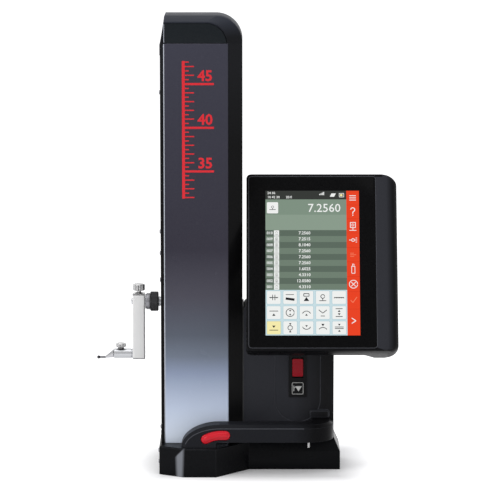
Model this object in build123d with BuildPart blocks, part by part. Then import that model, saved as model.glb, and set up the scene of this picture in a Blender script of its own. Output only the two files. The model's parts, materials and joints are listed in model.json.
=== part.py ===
from build123d import *
import os
from math import asin, atan, cos, degrees, radians, sin

os.makedirs("parts", exist_ok=True)

# Height gauge, millimetres. +Z is up, the seat is z = 0 and the origin is the middle of the base.
# -X is the probe side, +X the rear with the display, -Y faces the operator.

# Fits shared by the whole gauge
running_fit = 0.05  # radial, shaft in hole
clearance = 0.3  # between pieces that pass each other
cap_clearance = 0.4  # round a push button or rocker

# Cast base
base_length = 209.0
facet_width = 16.7
facet_length = 28.2
foot_length = 65.5
foot_taper_length = 37.8
tail_width = 64.6
base_height = 33.5
tail_height = 37.0
shoulder_height = 21.0
shoulder_inset = 7.0
foot_corner_radius = 10.0
base_edge_chamfer = 1.2
air_pocket_diameter = 22.0
air_pocket_depth = 0.4
air_jet_diameter = 5.0
air_jet_length = 6.0
air_jet_bore = 1.2
air_jet_inset_x = 19.5
air_jet_inset_y = 25.0

# Column: an extruded inner profile inside side panels, a rear cover and a top cap
column_setback = 2.0
column_depth = 93.8
column_width = 86.0
column_top = 526.5
cap_height = 30.5
panel_thickness = 3.0
panel_front_margin = 3.9
rear_bevel_depth = 15.9
rear_bevel_width = 14.0
cover_wall = 2.5
profile_wall = 6.0
web_distance = 48.5
web_thickness = 6.0
front_strip_thickness = 2.7
slot_width = 18.0
stop_width = 26.0
stop_height = 13.0
stop_drop = 16.0
foot_stop_height = 4.0

base_left = -base_length / 2
base_right = base_length / 2
facet_right = base_left + facet_length
foot_right = base_left + foot_length
taper_right = foot_right + foot_taper_length
column_front = base_left + column_setback
column_rear = column_front + column_depth
half_column = column_width / 2
bevel_start = column_rear - rear_bevel_depth
rear_flat_half = half_column - rear_bevel_width
profile_half = half_column - panel_thickness
inner_half = profile_half - profile_wall
profile_front = column_front + front_strip_thickness
cap_bottom = column_top - cap_height
panel_front = column_front + panel_front_margin
web_rear = column_front + web_distance
web_front = web_rear - web_thickness

# Top cap
cap_front_slope = 4.8
cap_top_bevel = 5.8
cap_wall = 5.0
insert_thickness = 2.0
insert_gap = 1.5

# Linear guide and carriage
rail_width = 15.0
rail_height = 15.0
rail_end_margin = 4.5
rail_groove = 1.8
rail_screw_depth = 1.0
block_side_room = 17.0
block_length = 46.0
block_gap = 9.0
block_cover = 10.7
block_web_gap = 4.3
screw_pattern = 0.36  # of the block's width and length, from its middle
plate_thickness = 9.0
plate_side_gap = 4.0
plate_margin = 1.0
plate_corner = 3.0
carriage_rise = 24.0  # middle of the carriage above the spindle
reader_rise = 25.0  # bottom of the reader above that of the plate
travel_up = 226.0
rail_screw_pitch = 64.0
rail_screw_head = 7.0
rail_screw_shank = 4.0
rail_screw_head_height = 4.0

# Probe carrier on the front of the carriage
spindle_height = 192.6
spindle_diameter = 8.0
neck_diameter = 12.0
neck_reach = 3.6
ring_diameter = 23.0
ring_width = 10.2
ring_flutes = 24
ring_flute_depth = 0.7
collar_diameter = 19.5
collar_width = 5.6
arm_thickness = 14.5
arm_depth = 15.0
arm_bottom_drop = 67.1
arm_top_rise = 9.4
arm_edge_round = 2.0
spindle_end = 1.6
sleeve_drop = 61.6
sleeve_diameter = 11.5
sleeve_length = 22.3
sleeve_spigot_diameter = 8.0
shank_diameter = 4.0
top_knob_diameter = 14.0
top_knob_height = 7.5
top_knob_gap = 3.5
small_knob_diameter = 12.0
small_knob_height = 4.7
small_knob_gap = 1.8
small_knob_offset = 14.0
knob_flutes = 16
knob_flute_depth = 0.5
arm_screw_diameter = 4.0
sleeve_screw_diameter = 3.0
stylus_base_diameter = 10.0
stylus_cone_length = 9.7
stylus_rod_diameter = 2.2
stylus_drop = 4.4
stylus_rod_length = 6.2
ball_diameter = 4.0

# Belt drive and counterweight behind the web
belt_radius = 10.0
belt_thickness = 1.4
belt_width = 8.0
belt_side_gap = 10.0
pulley_x = -52.0
pulley_clearance = 0.3
pulley_flange = 2.6
pulley_flange_width = 1.2
pulley_teeth = 16
pulley_shaft_diameter = 6.0
pulley_top_margin = 16.0
drive_pulley_height = 56.0
motor_diameter = 22.0
motor_length = 24.0
motor_side_gap = 1.0
bracket_thickness = 3.0
weight_depth = 17.5
weight_side_gap = 5.0
weight_length = 76.0
clamp_height = 24.0
clamp_width = 10.0

# Measuring scale
scale_width = 8.0
scale_thickness = 2.5
scale_side_gap = 8.0
reader_length = 30.0
reader_width = 13.0

# Rear housing
housing_gap = 1.2
housing_length = 104.5
housing_half_width = 28.0
housing_height = 155.0
housing_wall = 3.0
housing_corner_radius = 6.0
housing_edge_round = 1.5
housing_post_radius = 4.5
housing_post_inset = 10.0
housing_screw_reach = 12.0
jog_centre_x = 55.2
jog_height = 119.4
jog_plate_width = 20.6
jog_plate_length = 69.8
jog_plate_thickness = 4.0
jog_plate_proud = 1.2
rocker_width = 12.5
rocker_length = 21.8
rocker_thickness = 7.0
rocker_trunnion_diameter = 3.0
rocker_trunnion_length = 2.0
tile_width = 14.8
tile_height = 15.6
tile_thickness = 0.8
tile_offset = 24.3
tile_corner = 2.2
recess_half_width = 26.3
recess_depth = 0.8
recess_bottom = 55.6
hood_width = 23.0
hood_height = 9.8
hood_proud = 3.0
hood_left = 69.0

# Inside the housing
pump_inset = 18.0
pump_length = 34.0
pump_width = 28.0
pump_height = 26.0
pump_corner = 3.0
pump_motor_diameter = 22.0
pump_motor_length = 32.0
pump_boss = 4.0
pump_outlet_diameter = 5.0
pump_outlet_length = 6.0
board_thickness = 1.6
board_y = 10.0
board_margin = 4.0
board_foot_radius = 3.0
board_foot_inset_x = 24.0
board_foot_inset_z = 8.0

# Handle
handle_side_gap = 5.0
handle_foot_margin = 3.0
handle_width = 24.0
handle_left = -79.0
handle_end_run = 44.6
handle_top = 60.2
handle_clearance = 6.7
handle_turn_x = 66.0
handle_turn_radius = 30.0
handle_inner_corner = 2.0
quarter_turn = 90.0
handle_bevel = 4.0
handle_wall = 2.5
handle_roof = 7.0
handle_plate_thickness = 2.2
button_width = 11.0
button_proud = 2.2
button_depth = 8.2
button_travel = 3.0
button_margin = 1.5
button_edge = 1.5
valve_half_width = 6.0
valve_height = 10.0
stem_grip = 4.5
button_stem_diameter = 4.0
button_left_x = -50.8
button_mid_x = -42.0
button_right_x = -28.2
button_left_z = 44.0
button_mid_z = 47.3
button_right_z = 48.3

# Display head, tilted back from upright
display_left = -4.2
display_tilt = 25.0
display_front_y = -95.0
display_front_z = 152.0
display_thickness = 23.0
display_wall = 2.5
grip_width = 24.6
grip_thickness = 35.0
glass_margin = 3.0
glass_thickness = 1.2
glass_ledge = 3.0
screen_left = 22.0
screen_bottom = 17.6
screen_right = 19.5
screen_top = 20.2
screen_width = 107.6
screen_height = 172.2
lcd_thickness = 4.3
lcd_rim = 3.0
display_edge_round = 3.0
display_end_chamfer = 0.8
grip_overlap = 14.0
grip_slope = 11.0
grip_front_radius = 16.0
grip_rear_radius = 12.0
grip_edge_radius = 4.0
grip_root_radius = 6.0
glass_grip_gap = 0.2
frame_thickness = 1.5
board_post_gap = 2.0
chip_thickness = 1.5
battery_thickness = 8.0
display_post_diameter = 8.0
display_post_inset = 9.0
display_screw_diameter = 2.5
display_screw_head = 5.0

body_width = screen_left + screen_width + screen_right
display_width = body_width + grip_width
display_height = screen_bottom + screen_height + screen_top

# Tilt hinge of the display
hinge_y = -42.0
hinge_z = 178.0
hinge_x = 58.0
hinge_pin_diameter = 8.0
hinge_barrel_radius = 9.0
hinge_barrel_length = 23.0
hinge_lug_width = 6.0
hinge_lug_gap = 0.5
hinge_plate_thickness = 3.0
hinge_plate_length = 42.0
hinge_arm_thickness = 4.0
hinge_arm_margin = 7.0
hinge_foot_margin = 4.0
hinge_foot_drop = 16.0
hinge_foot_rise = 12.0
hinge_pin_head = 1.5

# Small fasteners
cover_screw_head = 5.0
cover_screw_head_height = 1.3
cover_screw_shank = 2.5
cover_screw_length = 7.0
foot_bolt_head = 7.0
foot_bolt_shank = 4.0
foot_bolt_grip = 17.0
foot_bolt_thread = 12.0
foot_bolt_front_inset = 14.0
foot_bolt_rear_inset = 8.0
strip_screw_foot = 18.5
strip_screw_rises = [31.4, 62.4, 87.4]  # above the spindle at rest
strip_screw_top = 56.0
end_screw_heights = [14.0, 27.0]
end_screw_inset = 8.0
head_sides = 12
barrel_sides = 24
shank_sides = 6


def bar_x(x_from, x_to, radius, y=0.0, z=0.0, mode=Mode.ADD):
    """Round bar or hole along X."""
    with BuildSketch(Plane.YZ.offset(x_from)) as section:
        with Locations((y, z)):
            Circle(radius)
    extrude(section.sketch, amount=x_to - x_from, mode=mode)


def bar_y(y_from, y_to, radius, x=0.0, z=0.0, mode=Mode.ADD):
    """Round bar or hole along Y."""
    with BuildSketch(Plane.XZ.offset(-y_from)) as section:
        with Locations((x, z)):
            Circle(radius)
    extrude(section.sketch, amount=y_from - y_to, mode=mode)


def bar_z(z_from, z_to, radius, x=0.0, y=0.0, mode=Mode.ADD):
    """Round bar or hole along Z."""
    with BuildSketch(Plane.XY.offset(z_from)) as section:
        with Locations((x, y)):
            Circle(radius)
    extrude(section.sketch, amount=z_to - z_from, mode=mode)


def block(x_range, y_range, z_range, mode=Mode.ADD):
    """Straight-sided block or pocket between pairs of limits."""
    with BuildSketch(Plane.XY.offset(z_range[0])) as section:
        with Locations(((x_range[0] + x_range[1]) / 2, (y_range[0] + y_range[1]) / 2)):
            Rectangle(x_range[1] - x_range[0], y_range[1] - y_range[0])
    extrude(section.sketch, amount=z_range[1] - z_range[0], mode=mode)


def post(plane, radius, length, x, y, sides=head_sides, mode=Mode.ADD):
    """Small post or hole that starts on the plane, drawn with few sides."""
    with BuildSketch(plane) as section:
        with Locations((x, y)):
            RegularPolygon(radius, sides)
    extrude(section.sketch, amount=length, mode=mode)


def screw(plane, head_radius, head_height, shank_radius, shank_length, x, y, mode=Mode.ADD):
    """Screw, or the hole for one: a flat head on the plane and a shank beyond it."""
    post(plane, head_radius, head_height, x, y, head_sides, mode)
    post(plane.offset(head_height), shank_radius, shank_length, x, y, shank_sides, mode)


def save(piece, name):
    piece.part.label = name
    export_step(piece.part, "parts/" + name + ".step")


belt_centre_y = inner_half - belt_side_gap
scale_centre_y = -inner_half + scale_side_gap
motor_front_y = -inner_half + motor_side_gap + motor_length
plate_width = 2 * (inner_half - plate_side_gap)
block_width = 2 * (inner_half - block_side_room)
weight_width = 2 * (inner_half - weight_side_gap)
top_pulley_height = cap_bottom - pulley_top_margin
weight_bottom = drive_pulley_height + motor_diameter / 2 + plate_margin + travel_up
weight_centre_height = weight_bottom + weight_length / 2
handle_back = -half_column - handle_side_gap
handle_front = handle_back - handle_width
foot_width = 2 * (handle_foot_margin - handle_front)
foot_end_width = foot_width - 2 * facet_width

# Base casting: a wide foot under the column and a narrow tail under the housing
housing_left = column_rear + housing_gap
housing_right = housing_left + housing_length

with BuildPart() as base_casting:
    with BuildSketch() as base_plan:
        with BuildLine():
            Polyline(
                (base_left, -foot_end_width / 2),
                (facet_right, -foot_width / 2),
                (foot_right, -foot_width / 2),
                (taper_right, -tail_width / 2),
                (base_right, -tail_width / 2),
                (base_right, tail_width / 2),
                (taper_right, tail_width / 2),
                (foot_right, foot_width / 2),
                (facet_right, foot_width / 2),
                (base_left, foot_end_width / 2),
                close=True,
            )
        make_face()
        fillet(
            base_plan.vertices().filter_by_position(Axis.X, facet_right - 1, facet_right + 1),
            radius=foot_corner_radius,
        )
    extrude(amount=shoulder_height)
    with BuildSketch(Plane.XY.offset(shoulder_height)) as foot_plan:
        add(base_plan.sketch)
        with Locations((taper_right, 0)):
            Rectangle(base_length * 2, foot_width * 2, align=(Align.MIN, Align.CENTER), mode=Mode.SUBTRACT)
    extrude(amount=base_height - shoulder_height)
    chamfer(
        base_casting.edges().filter_by_position(Axis.Z, base_height, base_height).filter_by(
            lambda edge: edge.center().X < foot_right + foot_taper_length * 0.9
        ),
        length=base_edge_chamfer,
    )
    with BuildSketch(Plane.XY.offset(shoulder_height)):
        with Locations((taper_right, 0)):
            Rectangle(base_right - taper_right, tail_width, align=(Align.MIN, Align.CENTER))
    with BuildSketch(Plane.XY.offset(tail_height)):
        with Locations((housing_left, 0)):
            Rectangle(
                base_right - shoulder_inset - housing_left,
                housing_half_width * 2,
                align=(Align.MIN, Align.CENTER),
            )
    loft(ruled=True)
    # air cushion pockets in the lapped underside, each fed by a jet
    jet_places = [
        (base_left + air_jet_inset_x, -foot_width / 2 + air_jet_inset_y),
        (base_left + air_jet_inset_x, foot_width / 2 - air_jet_inset_y),
        (base_right - air_jet_inset_x, 0),
    ]
    jet_end = air_pocket_depth + air_jet_length
    for jet_x, jet_y in jet_places:
        bar_z(0, air_pocket_depth, air_pocket_diameter / 2, jet_x, jet_y, Mode.SUBTRACT)
        bar_z(0, jet_end, air_jet_diameter / 2, jet_x, jet_y, Mode.SUBTRACT)
    # counterbored holes for the bolts that hold the column
    bolt_x = [profile_front + foot_bolt_front_inset, bevel_start - foot_bolt_rear_inset]
    bolt_y = profile_half - profile_wall / 2
    bolt_seat = base_height - foot_bolt_grip
    bolt_places = [(x, y) for x in bolt_x for y in (-bolt_y, bolt_y)]
    for x, y in bolt_places:
        screw(
            Plane.XY,
            foot_bolt_head / 2 + clearance,
            bolt_seat,
            foot_bolt_shank / 2 + clearance,
            foot_bolt_grip,
            x,
            y,
            Mode.SUBTRACT,
        )
    # screw holes in the end face
    end_screw_y = foot_end_width / 2 - end_screw_inset
    end_screw_places = [(y, z) for y in (-end_screw_y, end_screw_y) for z in end_screw_heights]
    for y, z in end_screw_places:
        post(
            Plane.YZ.offset(base_left),
            cover_screw_shank / 2,
            cover_screw_length,
            y,
            z,
            shank_sides,
            Mode.SUBTRACT,
        )
save(base_casting, "base_casting")

with BuildPart() as air_jets:
    for jet_x, jet_y in jet_places:
        bar_z(air_pocket_depth, jet_end, air_jet_diameter / 2, jet_x, jet_y)
        bar_z(air_pocket_depth, jet_end, air_jet_bore / 2, jet_x, jet_y, Mode.SUBTRACT)
save(air_jets, "air_jets")

with BuildPart() as column_bolts:
    for x, y in bolt_places:
        screw(
            Plane.XY.offset(bolt_seat - foot_bolt_shank),
            foot_bolt_head / 2,
            foot_bolt_shank,
            foot_bolt_shank / 2,
            foot_bolt_grip + foot_bolt_thread,
            x,
            y,
        )
save(column_bolts, "column_bolts")

# Column profile: open at the front, with a web that carries the guide rail
with BuildPart() as column_profile:
    rear_gap = cover_wall + clearance
    profile_rear = column_rear - rear_gap
    bevel_slope = rear_bevel_width / rear_bevel_depth
    corner_x = bevel_start - (rear_gap * 0.66 + (rear_gap * 0.75 - panel_thickness) / bevel_slope)
    corner_y = profile_half - (profile_rear - corner_x) * bevel_slope
    with BuildSketch(Plane.XY.offset(base_height)):
        with BuildLine():
            Polyline(
                (profile_front, -profile_half),
                (corner_x, -profile_half),
                (profile_rear, -corner_y),
                (profile_rear, corner_y),
                (corner_x, profile_half),
                (profile_front, profile_half),
                close=True,
            )
        make_face()
        offset(amount=-profile_wall, kind=Kind.INTERSECTION, mode=Mode.SUBTRACT)
        with Locations((profile_front, 0)):
            Rectangle(profile_wall * 2, inner_half * 2, mode=Mode.SUBTRACT)
        with Locations(((web_front + web_rear) / 2, 0)):
            Rectangle(web_thickness, (profile_half - profile_wall / 2) * 2)
    extrude(amount=cap_bottom - base_height)
    # windows where the belt and the motor pass through the web
    pulley_reach = belt_radius + belt_thickness + pulley_flange
    belt_side = belt_width / 2 + pulley_flange_width + 4
    block(
        (web_front - 1, web_rear + 1),
        (belt_centre_y - belt_side, inner_half),
        (top_pulley_height - pulley_reach, top_pulley_height + pulley_reach),
        Mode.SUBTRACT,
    )
    block(
        (web_front - 1, web_rear + 1),
        (-inner_half, inner_half),
        (base_height, drive_pulley_height + pulley_reach),
        Mode.SUBTRACT,
    )
    bar_y(
        inner_half,
        profile_half,
        pulley_shaft_diameter / 2,
        pulley_x,
        top_pulley_height,
        Mode.SUBTRACT,
    )
    for x, y in bolt_places:
        post(
            Plane.XY.offset(base_height),
            foot_bolt_shank / 2,
            foot_bolt_thread,
            x,
            y,
            shank_sides,
            Mode.SUBTRACT,
        )
    # threaded holes for the screws of the front strips
    strip_screw_y = profile_half - profile_wall / 2
    strip_screw_heights = [spindle_height + rise for rise in strip_screw_rises]
    strip_screw_heights += [base_height + strip_screw_foot, cap_bottom - strip_screw_top]
    strip_screw_places = [(y, z) for y in (-strip_screw_y, strip_screw_y) for z in strip_screw_heights]
    for y, z in strip_screw_places:
        post(
            Plane.YZ.offset(profile_front),
            cover_screw_shank / 2,
            cover_screw_length - front_strip_thickness,
            y,
            z,
            shank_sides,
            Mode.SUBTRACT,
        )
save(column_profile, "column_profile")

# Guide rail with its screws
rail_bottom = base_height + rail_end_margin
rail_top = cap_bottom - rail_end_margin
rail_front = web_front - rail_height
screw_count = int((rail_top - drive_pulley_height - rail_screw_pitch) / rail_screw_pitch)
rail_screw_heights = [rail_top - rail_screw_pitch * (index + 0.5) for index in range(screw_count)]

with BuildPart() as guide_rail:
    with BuildSketch(Plane.XY.offset(rail_bottom)):
        with Locations(((rail_front + web_front) / 2, 0)):
            Rectangle(rail_height, rail_width)
        for side in (-1, 1):
            with Locations((rail_front + rail_height * 0.45, side * rail_width / 2)):
                RegularPolygon(rail_groove, head_sides, mode=Mode.SUBTRACT)
    extrude(amount=rail_top - rail_bottom)
    rail_shank_length = rail_height - rail_screw_head_height - rail_screw_depth
    for z in rail_screw_heights:
        screw(
            Plane.YZ.offset(rail_front),
            rail_screw_head / 2,
            rail_screw_head_height + rail_screw_depth,
            rail_screw_shank / 2,
            rail_shank_length,
            0,
            z,
            Mode.SUBTRACT,
        )
save(guide_rail, "guide_rail")

with BuildPart() as rail_screws:
    for z in rail_screw_heights:
        screw(
            Plane.YZ.offset(rail_front + rail_screw_depth),
            rail_screw_head / 2,
            rail_screw_head_height,
            rail_screw_shank / 2,
            rail_shank_length,
            0,
            z,
        )
save(rail_screws, "rail_screws")

# Scale and its reader
scale_front = web_front - scale_thickness
with BuildPart() as glass_scale:
    block(
        (scale_front, web_front),
        (scale_centre_y - scale_width / 2, scale_centre_y + scale_width / 2),
        (drive_pulley_height + pulley_reach + clearance, cap_bottom - rail_end_margin),
    )
save(glass_scale, "glass_scale")

# Carriage: two bearing blocks, a plate, the scale reader and the belt clamp
block_front = rail_front - clearance - block_cover
carriage_middle = spindle_height + carriage_rise
block_centres = [
    carriage_middle - (block_length + block_gap) / 2,
    carriage_middle + (block_length + block_gap) / 2,
]
plate_front = block_front - plate_thickness
plate_bottom = block_centres[0] - block_length / 2 - plate_margin
plate_top = block_centres[1] + block_length / 2 + plate_margin

with BuildPart() as bearing_blocks:
    for z in block_centres:
        block(
            (block_front, web_front - block_web_gap),
            (-block_width / 2, block_width / 2),
            (z - block_length / 2, z + block_length / 2),
        )
        block(
            (rail_front - clearance, web_front),
            (-rail_width / 2 - clearance, rail_width / 2 + clearance),
            (z - block_length / 2, z + block_length / 2),
            Mode.SUBTRACT,
        )
save(bearing_blocks, "bearing_blocks")

carriage_screw_places = [
    (side * block_width * screw_pattern, z + end * block_length * screw_pattern)
    for side in (-1, 1)
    for z in block_centres
    for end in (-1, 1)
]
with BuildPart() as carriage_plate:
    block((plate_front, block_front), (-plate_width / 2, plate_width / 2), (plate_bottom, plate_top))
    chamfer(carriage_plate.edges().filter_by(Axis.X), length=plate_corner)
    bar_x(plate_front, block_front, spindle_diameter / 2, 0, spindle_height, Mode.SUBTRACT)
    plate_shank_length = plate_thickness - rail_screw_head_height
    for y, z in carriage_screw_places:
        screw(
            Plane.YZ.offset(plate_front),
            rail_screw_head / 2,
            rail_screw_head_height,
            rail_screw_shank / 2,
            plate_shank_length,
            y,
            z,
            Mode.SUBTRACT,
        )
save(carriage_plate, "carriage_plate")

with BuildPart() as carriage_screws:
    for y, z in carriage_screw_places:
        screw(
            Plane.YZ.offset(plate_front),
            rail_screw_head / 2,
            rail_screw_head_height,
            rail_screw_shank / 2,
            plate_shank_length,
            y,
            z,
        )
save(carriage_screws, "carriage_screws")

reader_top = plate_bottom + reader_rise + reader_length
with BuildPart() as scale_reader:
    block(
        (block_front, scale_front - clearance * 2),
        (scale_centre_y - reader_width / 2, scale_centre_y + reader_width / 2),
        (reader_top - reader_length, reader_top),
    )
    chamfer(scale_reader.edges().filter_by(Axis.Z).group_by(Axis.X)[0], length=1.5)
save(scale_reader, "scale_reader")

# Toothed belt over two pulleys
front_strand_x = pulley_x - belt_radius
rear_strand_x = pulley_x + belt_radius
belt_mid_z = (top_pulley_height + drive_pulley_height) / 2
belt_span = top_pulley_height - drive_pulley_height
belt_from_y = belt_centre_y - belt_width / 2
belt_to_y = belt_centre_y + belt_width / 2

with BuildPart() as drive_belt:
    with BuildSketch(Plane.XZ.offset(-belt_to_y)):
        with Locations((pulley_x, belt_mid_z)):
            SlotCenterToCenter(belt_span, 2 * belt_radius + belt_thickness, rotation=90)
            SlotCenterToCenter(
                belt_span, 2 * belt_radius - belt_thickness, rotation=90, mode=Mode.SUBTRACT
            )
    extrude(amount=belt_width)
save(drive_belt, "drive_belt")


def toothed_pulley(height):
    """Flanged belt pulley about Y, with a tooth gap for each tooth."""
    rim_radius = belt_radius - belt_thickness / 2 - pulley_clearance
    half = belt_width / 2 + pulley_clearance
    bar_y(belt_centre_y - half, belt_centre_y + half, rim_radius, pulley_x, height)
    for y_from in (belt_centre_y - half - pulley_flange_width, belt_centre_y + half):
        post(
            Plane.XZ.offset(-y_from),
            belt_radius + pulley_flange - 1,
            -pulley_flange_width,
            pulley_x,
            height,
            barrel_sides,
        )
    with BuildSketch(Plane.XZ.offset(-belt_centre_y - half)) as gaps:
        with Locations((pulley_x, height)):
            with PolarLocations(rim_radius, pulley_teeth):
                Rectangle(2.2, 1.6)
    extrude(gaps.sketch, amount=half * 2, mode=Mode.SUBTRACT)


with BuildPart() as top_pulley:
    toothed_pulley(top_pulley_height)
    bar_y(
        0, profile_half, pulley_shaft_diameter / 2 + running_fit, pulley_x, top_pulley_height, Mode.SUBTRACT
    )
save(top_pulley, "top_pulley")

axle_end_y = belt_centre_y - belt_width / 2 - pulley_flange_width - 3
with BuildPart() as pulley_axle:
    bar_y(axle_end_y, profile_half, pulley_shaft_diameter / 2, pulley_x, top_pulley_height)
    bar_y(axle_end_y, axle_end_y + 2, pulley_shaft_diameter / 2 + 1.5, pulley_x, top_pulley_height)
    pulley_face = belt_centre_y + belt_width / 2 + pulley_clearance + pulley_flange_width
    bar_y(
        pulley_face + clearance,
        profile_half - profile_wall,
        pulley_shaft_diameter / 2 + 1.5,
        pulley_x,
        top_pulley_height,
    )
save(pulley_axle, "pulley_axle")

with BuildPart() as drive_pulley:
    toothed_pulley(drive_pulley_height)
    bar_y(0, profile_half, pulley_shaft_diameter / 2, pulley_x, drive_pulley_height, Mode.SUBTRACT)
save(drive_pulley, "drive_pulley")

shaft_socket = 6.0
with BuildPart() as drive_shaft:
    bar_y(
        motor_front_y - shaft_socket + clearance,
        belt_to_y + pulley_flange_width + 1.5,
        pulley_shaft_diameter / 2,
        pulley_x,
        drive_pulley_height,
    )
save(drive_shaft, "drive_shaft")

with BuildPart() as drive_motor:
    post(
        Plane.XZ.offset(-motor_front_y),
        motor_diameter / 2,
        motor_length,
        pulley_x,
        drive_pulley_height,
        barrel_sides,
    )
    chamfer(drive_motor.edges().group_by(Axis.Y)[0], length=1.5)
    bar_y(
        motor_front_y - shaft_socket,
        motor_front_y,
        pulley_shaft_diameter / 2 + running_fit,
        pulley_x,
        drive_pulley_height,
        Mode.SUBTRACT,
    )
save(drive_motor, "drive_motor")

with BuildPart() as motor_bracket:
    bracket_half = motor_diameter / 2 + 1
    block(
        (pulley_x - bracket_half, pulley_x + bracket_half),
        (motor_front_y, motor_front_y + bracket_thickness),
        (base_height, drive_pulley_height + bracket_half),
    )
    block(
        (pulley_x - bracket_half, pulley_x + bracket_half),
        (motor_front_y - motor_length, motor_front_y),
        (base_height, base_height + bracket_thickness),
    )
    block(
        (pulley_x - bracket_half, web_front + clearance),
        (-rail_width / 2 - 1, motor_front_y + bracket_thickness + 1),
        (base_height, drive_pulley_height + bracket_half + 1),
        Mode.SUBTRACT,
    )
    bar_y(
        motor_front_y - 1,
        motor_front_y + bracket_thickness + 1,
        pulley_shaft_diameter / 2 + 1,
        pulley_x,
        drive_pulley_height,
        Mode.SUBTRACT,
    )
save(motor_bracket, "motor_bracket")


def belt_clamp(x_from, x_to, strand_x, middle):
    """Block with a slot that the belt strand runs through."""
    low_y = belt_centre_y - belt_width / 2 - 1.5
    high_y = low_y + clamp_width
    slot = belt_thickness / 2 + clearance
    block((x_from, x_to), (low_y, high_y), (middle - clamp_height / 2, middle + clamp_height / 2))
    block(
        (strand_x - slot, strand_x + slot),
        (belt_from_y - clearance, high_y + 1),
        (middle - clamp_height / 2, middle + clamp_height / 2),
        Mode.SUBTRACT,
    )


with BuildPart() as carriage_clamp:
    belt_clamp(block_front, web_front - clearance, front_strand_x, carriage_middle)
save(carriage_clamp, "carriage_clamp")

weight_front = rear_strand_x + belt_thickness / 2 + clearance * 2 + 1.5
with BuildPart() as counterweight:
    with BuildSketch(Plane.XY.offset(weight_centre_height - weight_length / 2)) as weight_plan:
        with Locations((weight_front, 0)):
            Rectangle(weight_depth, weight_width, align=(Align.MIN, Align.CENTER))
        chamfer(weight_plan.vertices().sort_by(Axis.X)[-2:], length=3)
    extrude(amount=weight_length)
save(counterweight, "counterweight")

with BuildPart() as weight_clamp:
    belt_clamp(rear_strand_x - 3, weight_front, rear_strand_x, weight_centre_height)
save(weight_clamp, "weight_clamp")

# Outer skin of the column
with BuildPart() as side_panel_front:
    block((panel_front, bevel_start), (-half_column, -profile_half), (base_height, cap_bottom))
    chamfer(side_panel_front.edges().filter_by(Axis.Z).group_by(Axis.Y)[0], length=0.8)
save(side_panel_front, "side_panel_front")

with BuildPart() as side_panel_back:
    block((panel_front, bevel_start), (profile_half, half_column), (base_height, cap_bottom))
    chamfer(side_panel_back.edges().filter_by(Axis.Z).group_by(Axis.Y)[-1], length=0.8)
save(side_panel_back, "side_panel_back")

with BuildPart() as rear_cover:
    with BuildSketch(Plane.XY.offset(base_height)):
        with BuildLine():
            Polyline(
                (bevel_start, -half_column),
                (column_rear, -rear_flat_half),
                (column_rear, rear_flat_half),
                (bevel_start, half_column),
                (bevel_start, half_column - cover_wall),
                (bevel_start + cover_wall * 0.2, half_column - cover_wall * 1.3),
                (column_rear - cover_wall, rear_flat_half - cover_wall * 0.35),
                (column_rear - cover_wall, -rear_flat_half + cover_wall * 0.35),
                (bevel_start + cover_wall * 0.2, -half_column + cover_wall * 1.3),
                (bevel_start, -half_column + cover_wall),
                close=True,
            )
        make_face()
    extrude(amount=cap_bottom - base_height)
save(rear_cover, "rear_cover")

with BuildPart() as front_strips:
    for side in (-1, 1):
        low = min(side * slot_width / 2, side * half_column)
        high = max(side * slot_width / 2, side * half_column)
        block((column_front, profile_front), (low, high), (base_height, cap_bottom))
    chamfer(front_strips.edges().filter_by(Axis.Z).group_by(Axis.X)[0], length=0.8)
    for y, z in strip_screw_places:
        post(
            Plane.YZ.offset(column_front),
            cover_screw_shank / 2,
            front_strip_thickness,
            y,
            z,
            shank_sides,
            Mode.SUBTRACT,
        )
    # the strips turn the corner and meet the side panels
    for low, high in ((-half_column, -profile_half), (profile_half, half_column)):
        block((profile_front, panel_front), (low, high), (base_height, cap_bottom))
save(front_strips, "front_strips")

with BuildPart() as cover_screws:
    for seat_x, places in ((column_front, strip_screw_places), (base_left, end_screw_places)):
        for y, z in places:
            screw(
                Plane.YZ.offset(seat_x - cover_screw_head_height),
                cover_screw_head / 2,
                cover_screw_head_height,
                cover_screw_shank / 2,
                cover_screw_length,
                y,
                z,
            )
save(cover_screws, "cover_screws")

stop_bottom = cap_bottom - stop_drop
with BuildPart() as end_stops:
    foot_stop_top = base_height + foot_stop_height
    for low, high in ((base_height, foot_stop_top), (stop_bottom, stop_bottom + stop_height)):
        block(
            (column_front - cover_screw_head_height, column_front),
            (-stop_width / 2, stop_width / 2),
            (low, high),
        )
save(end_stops, "end_stops")


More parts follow.
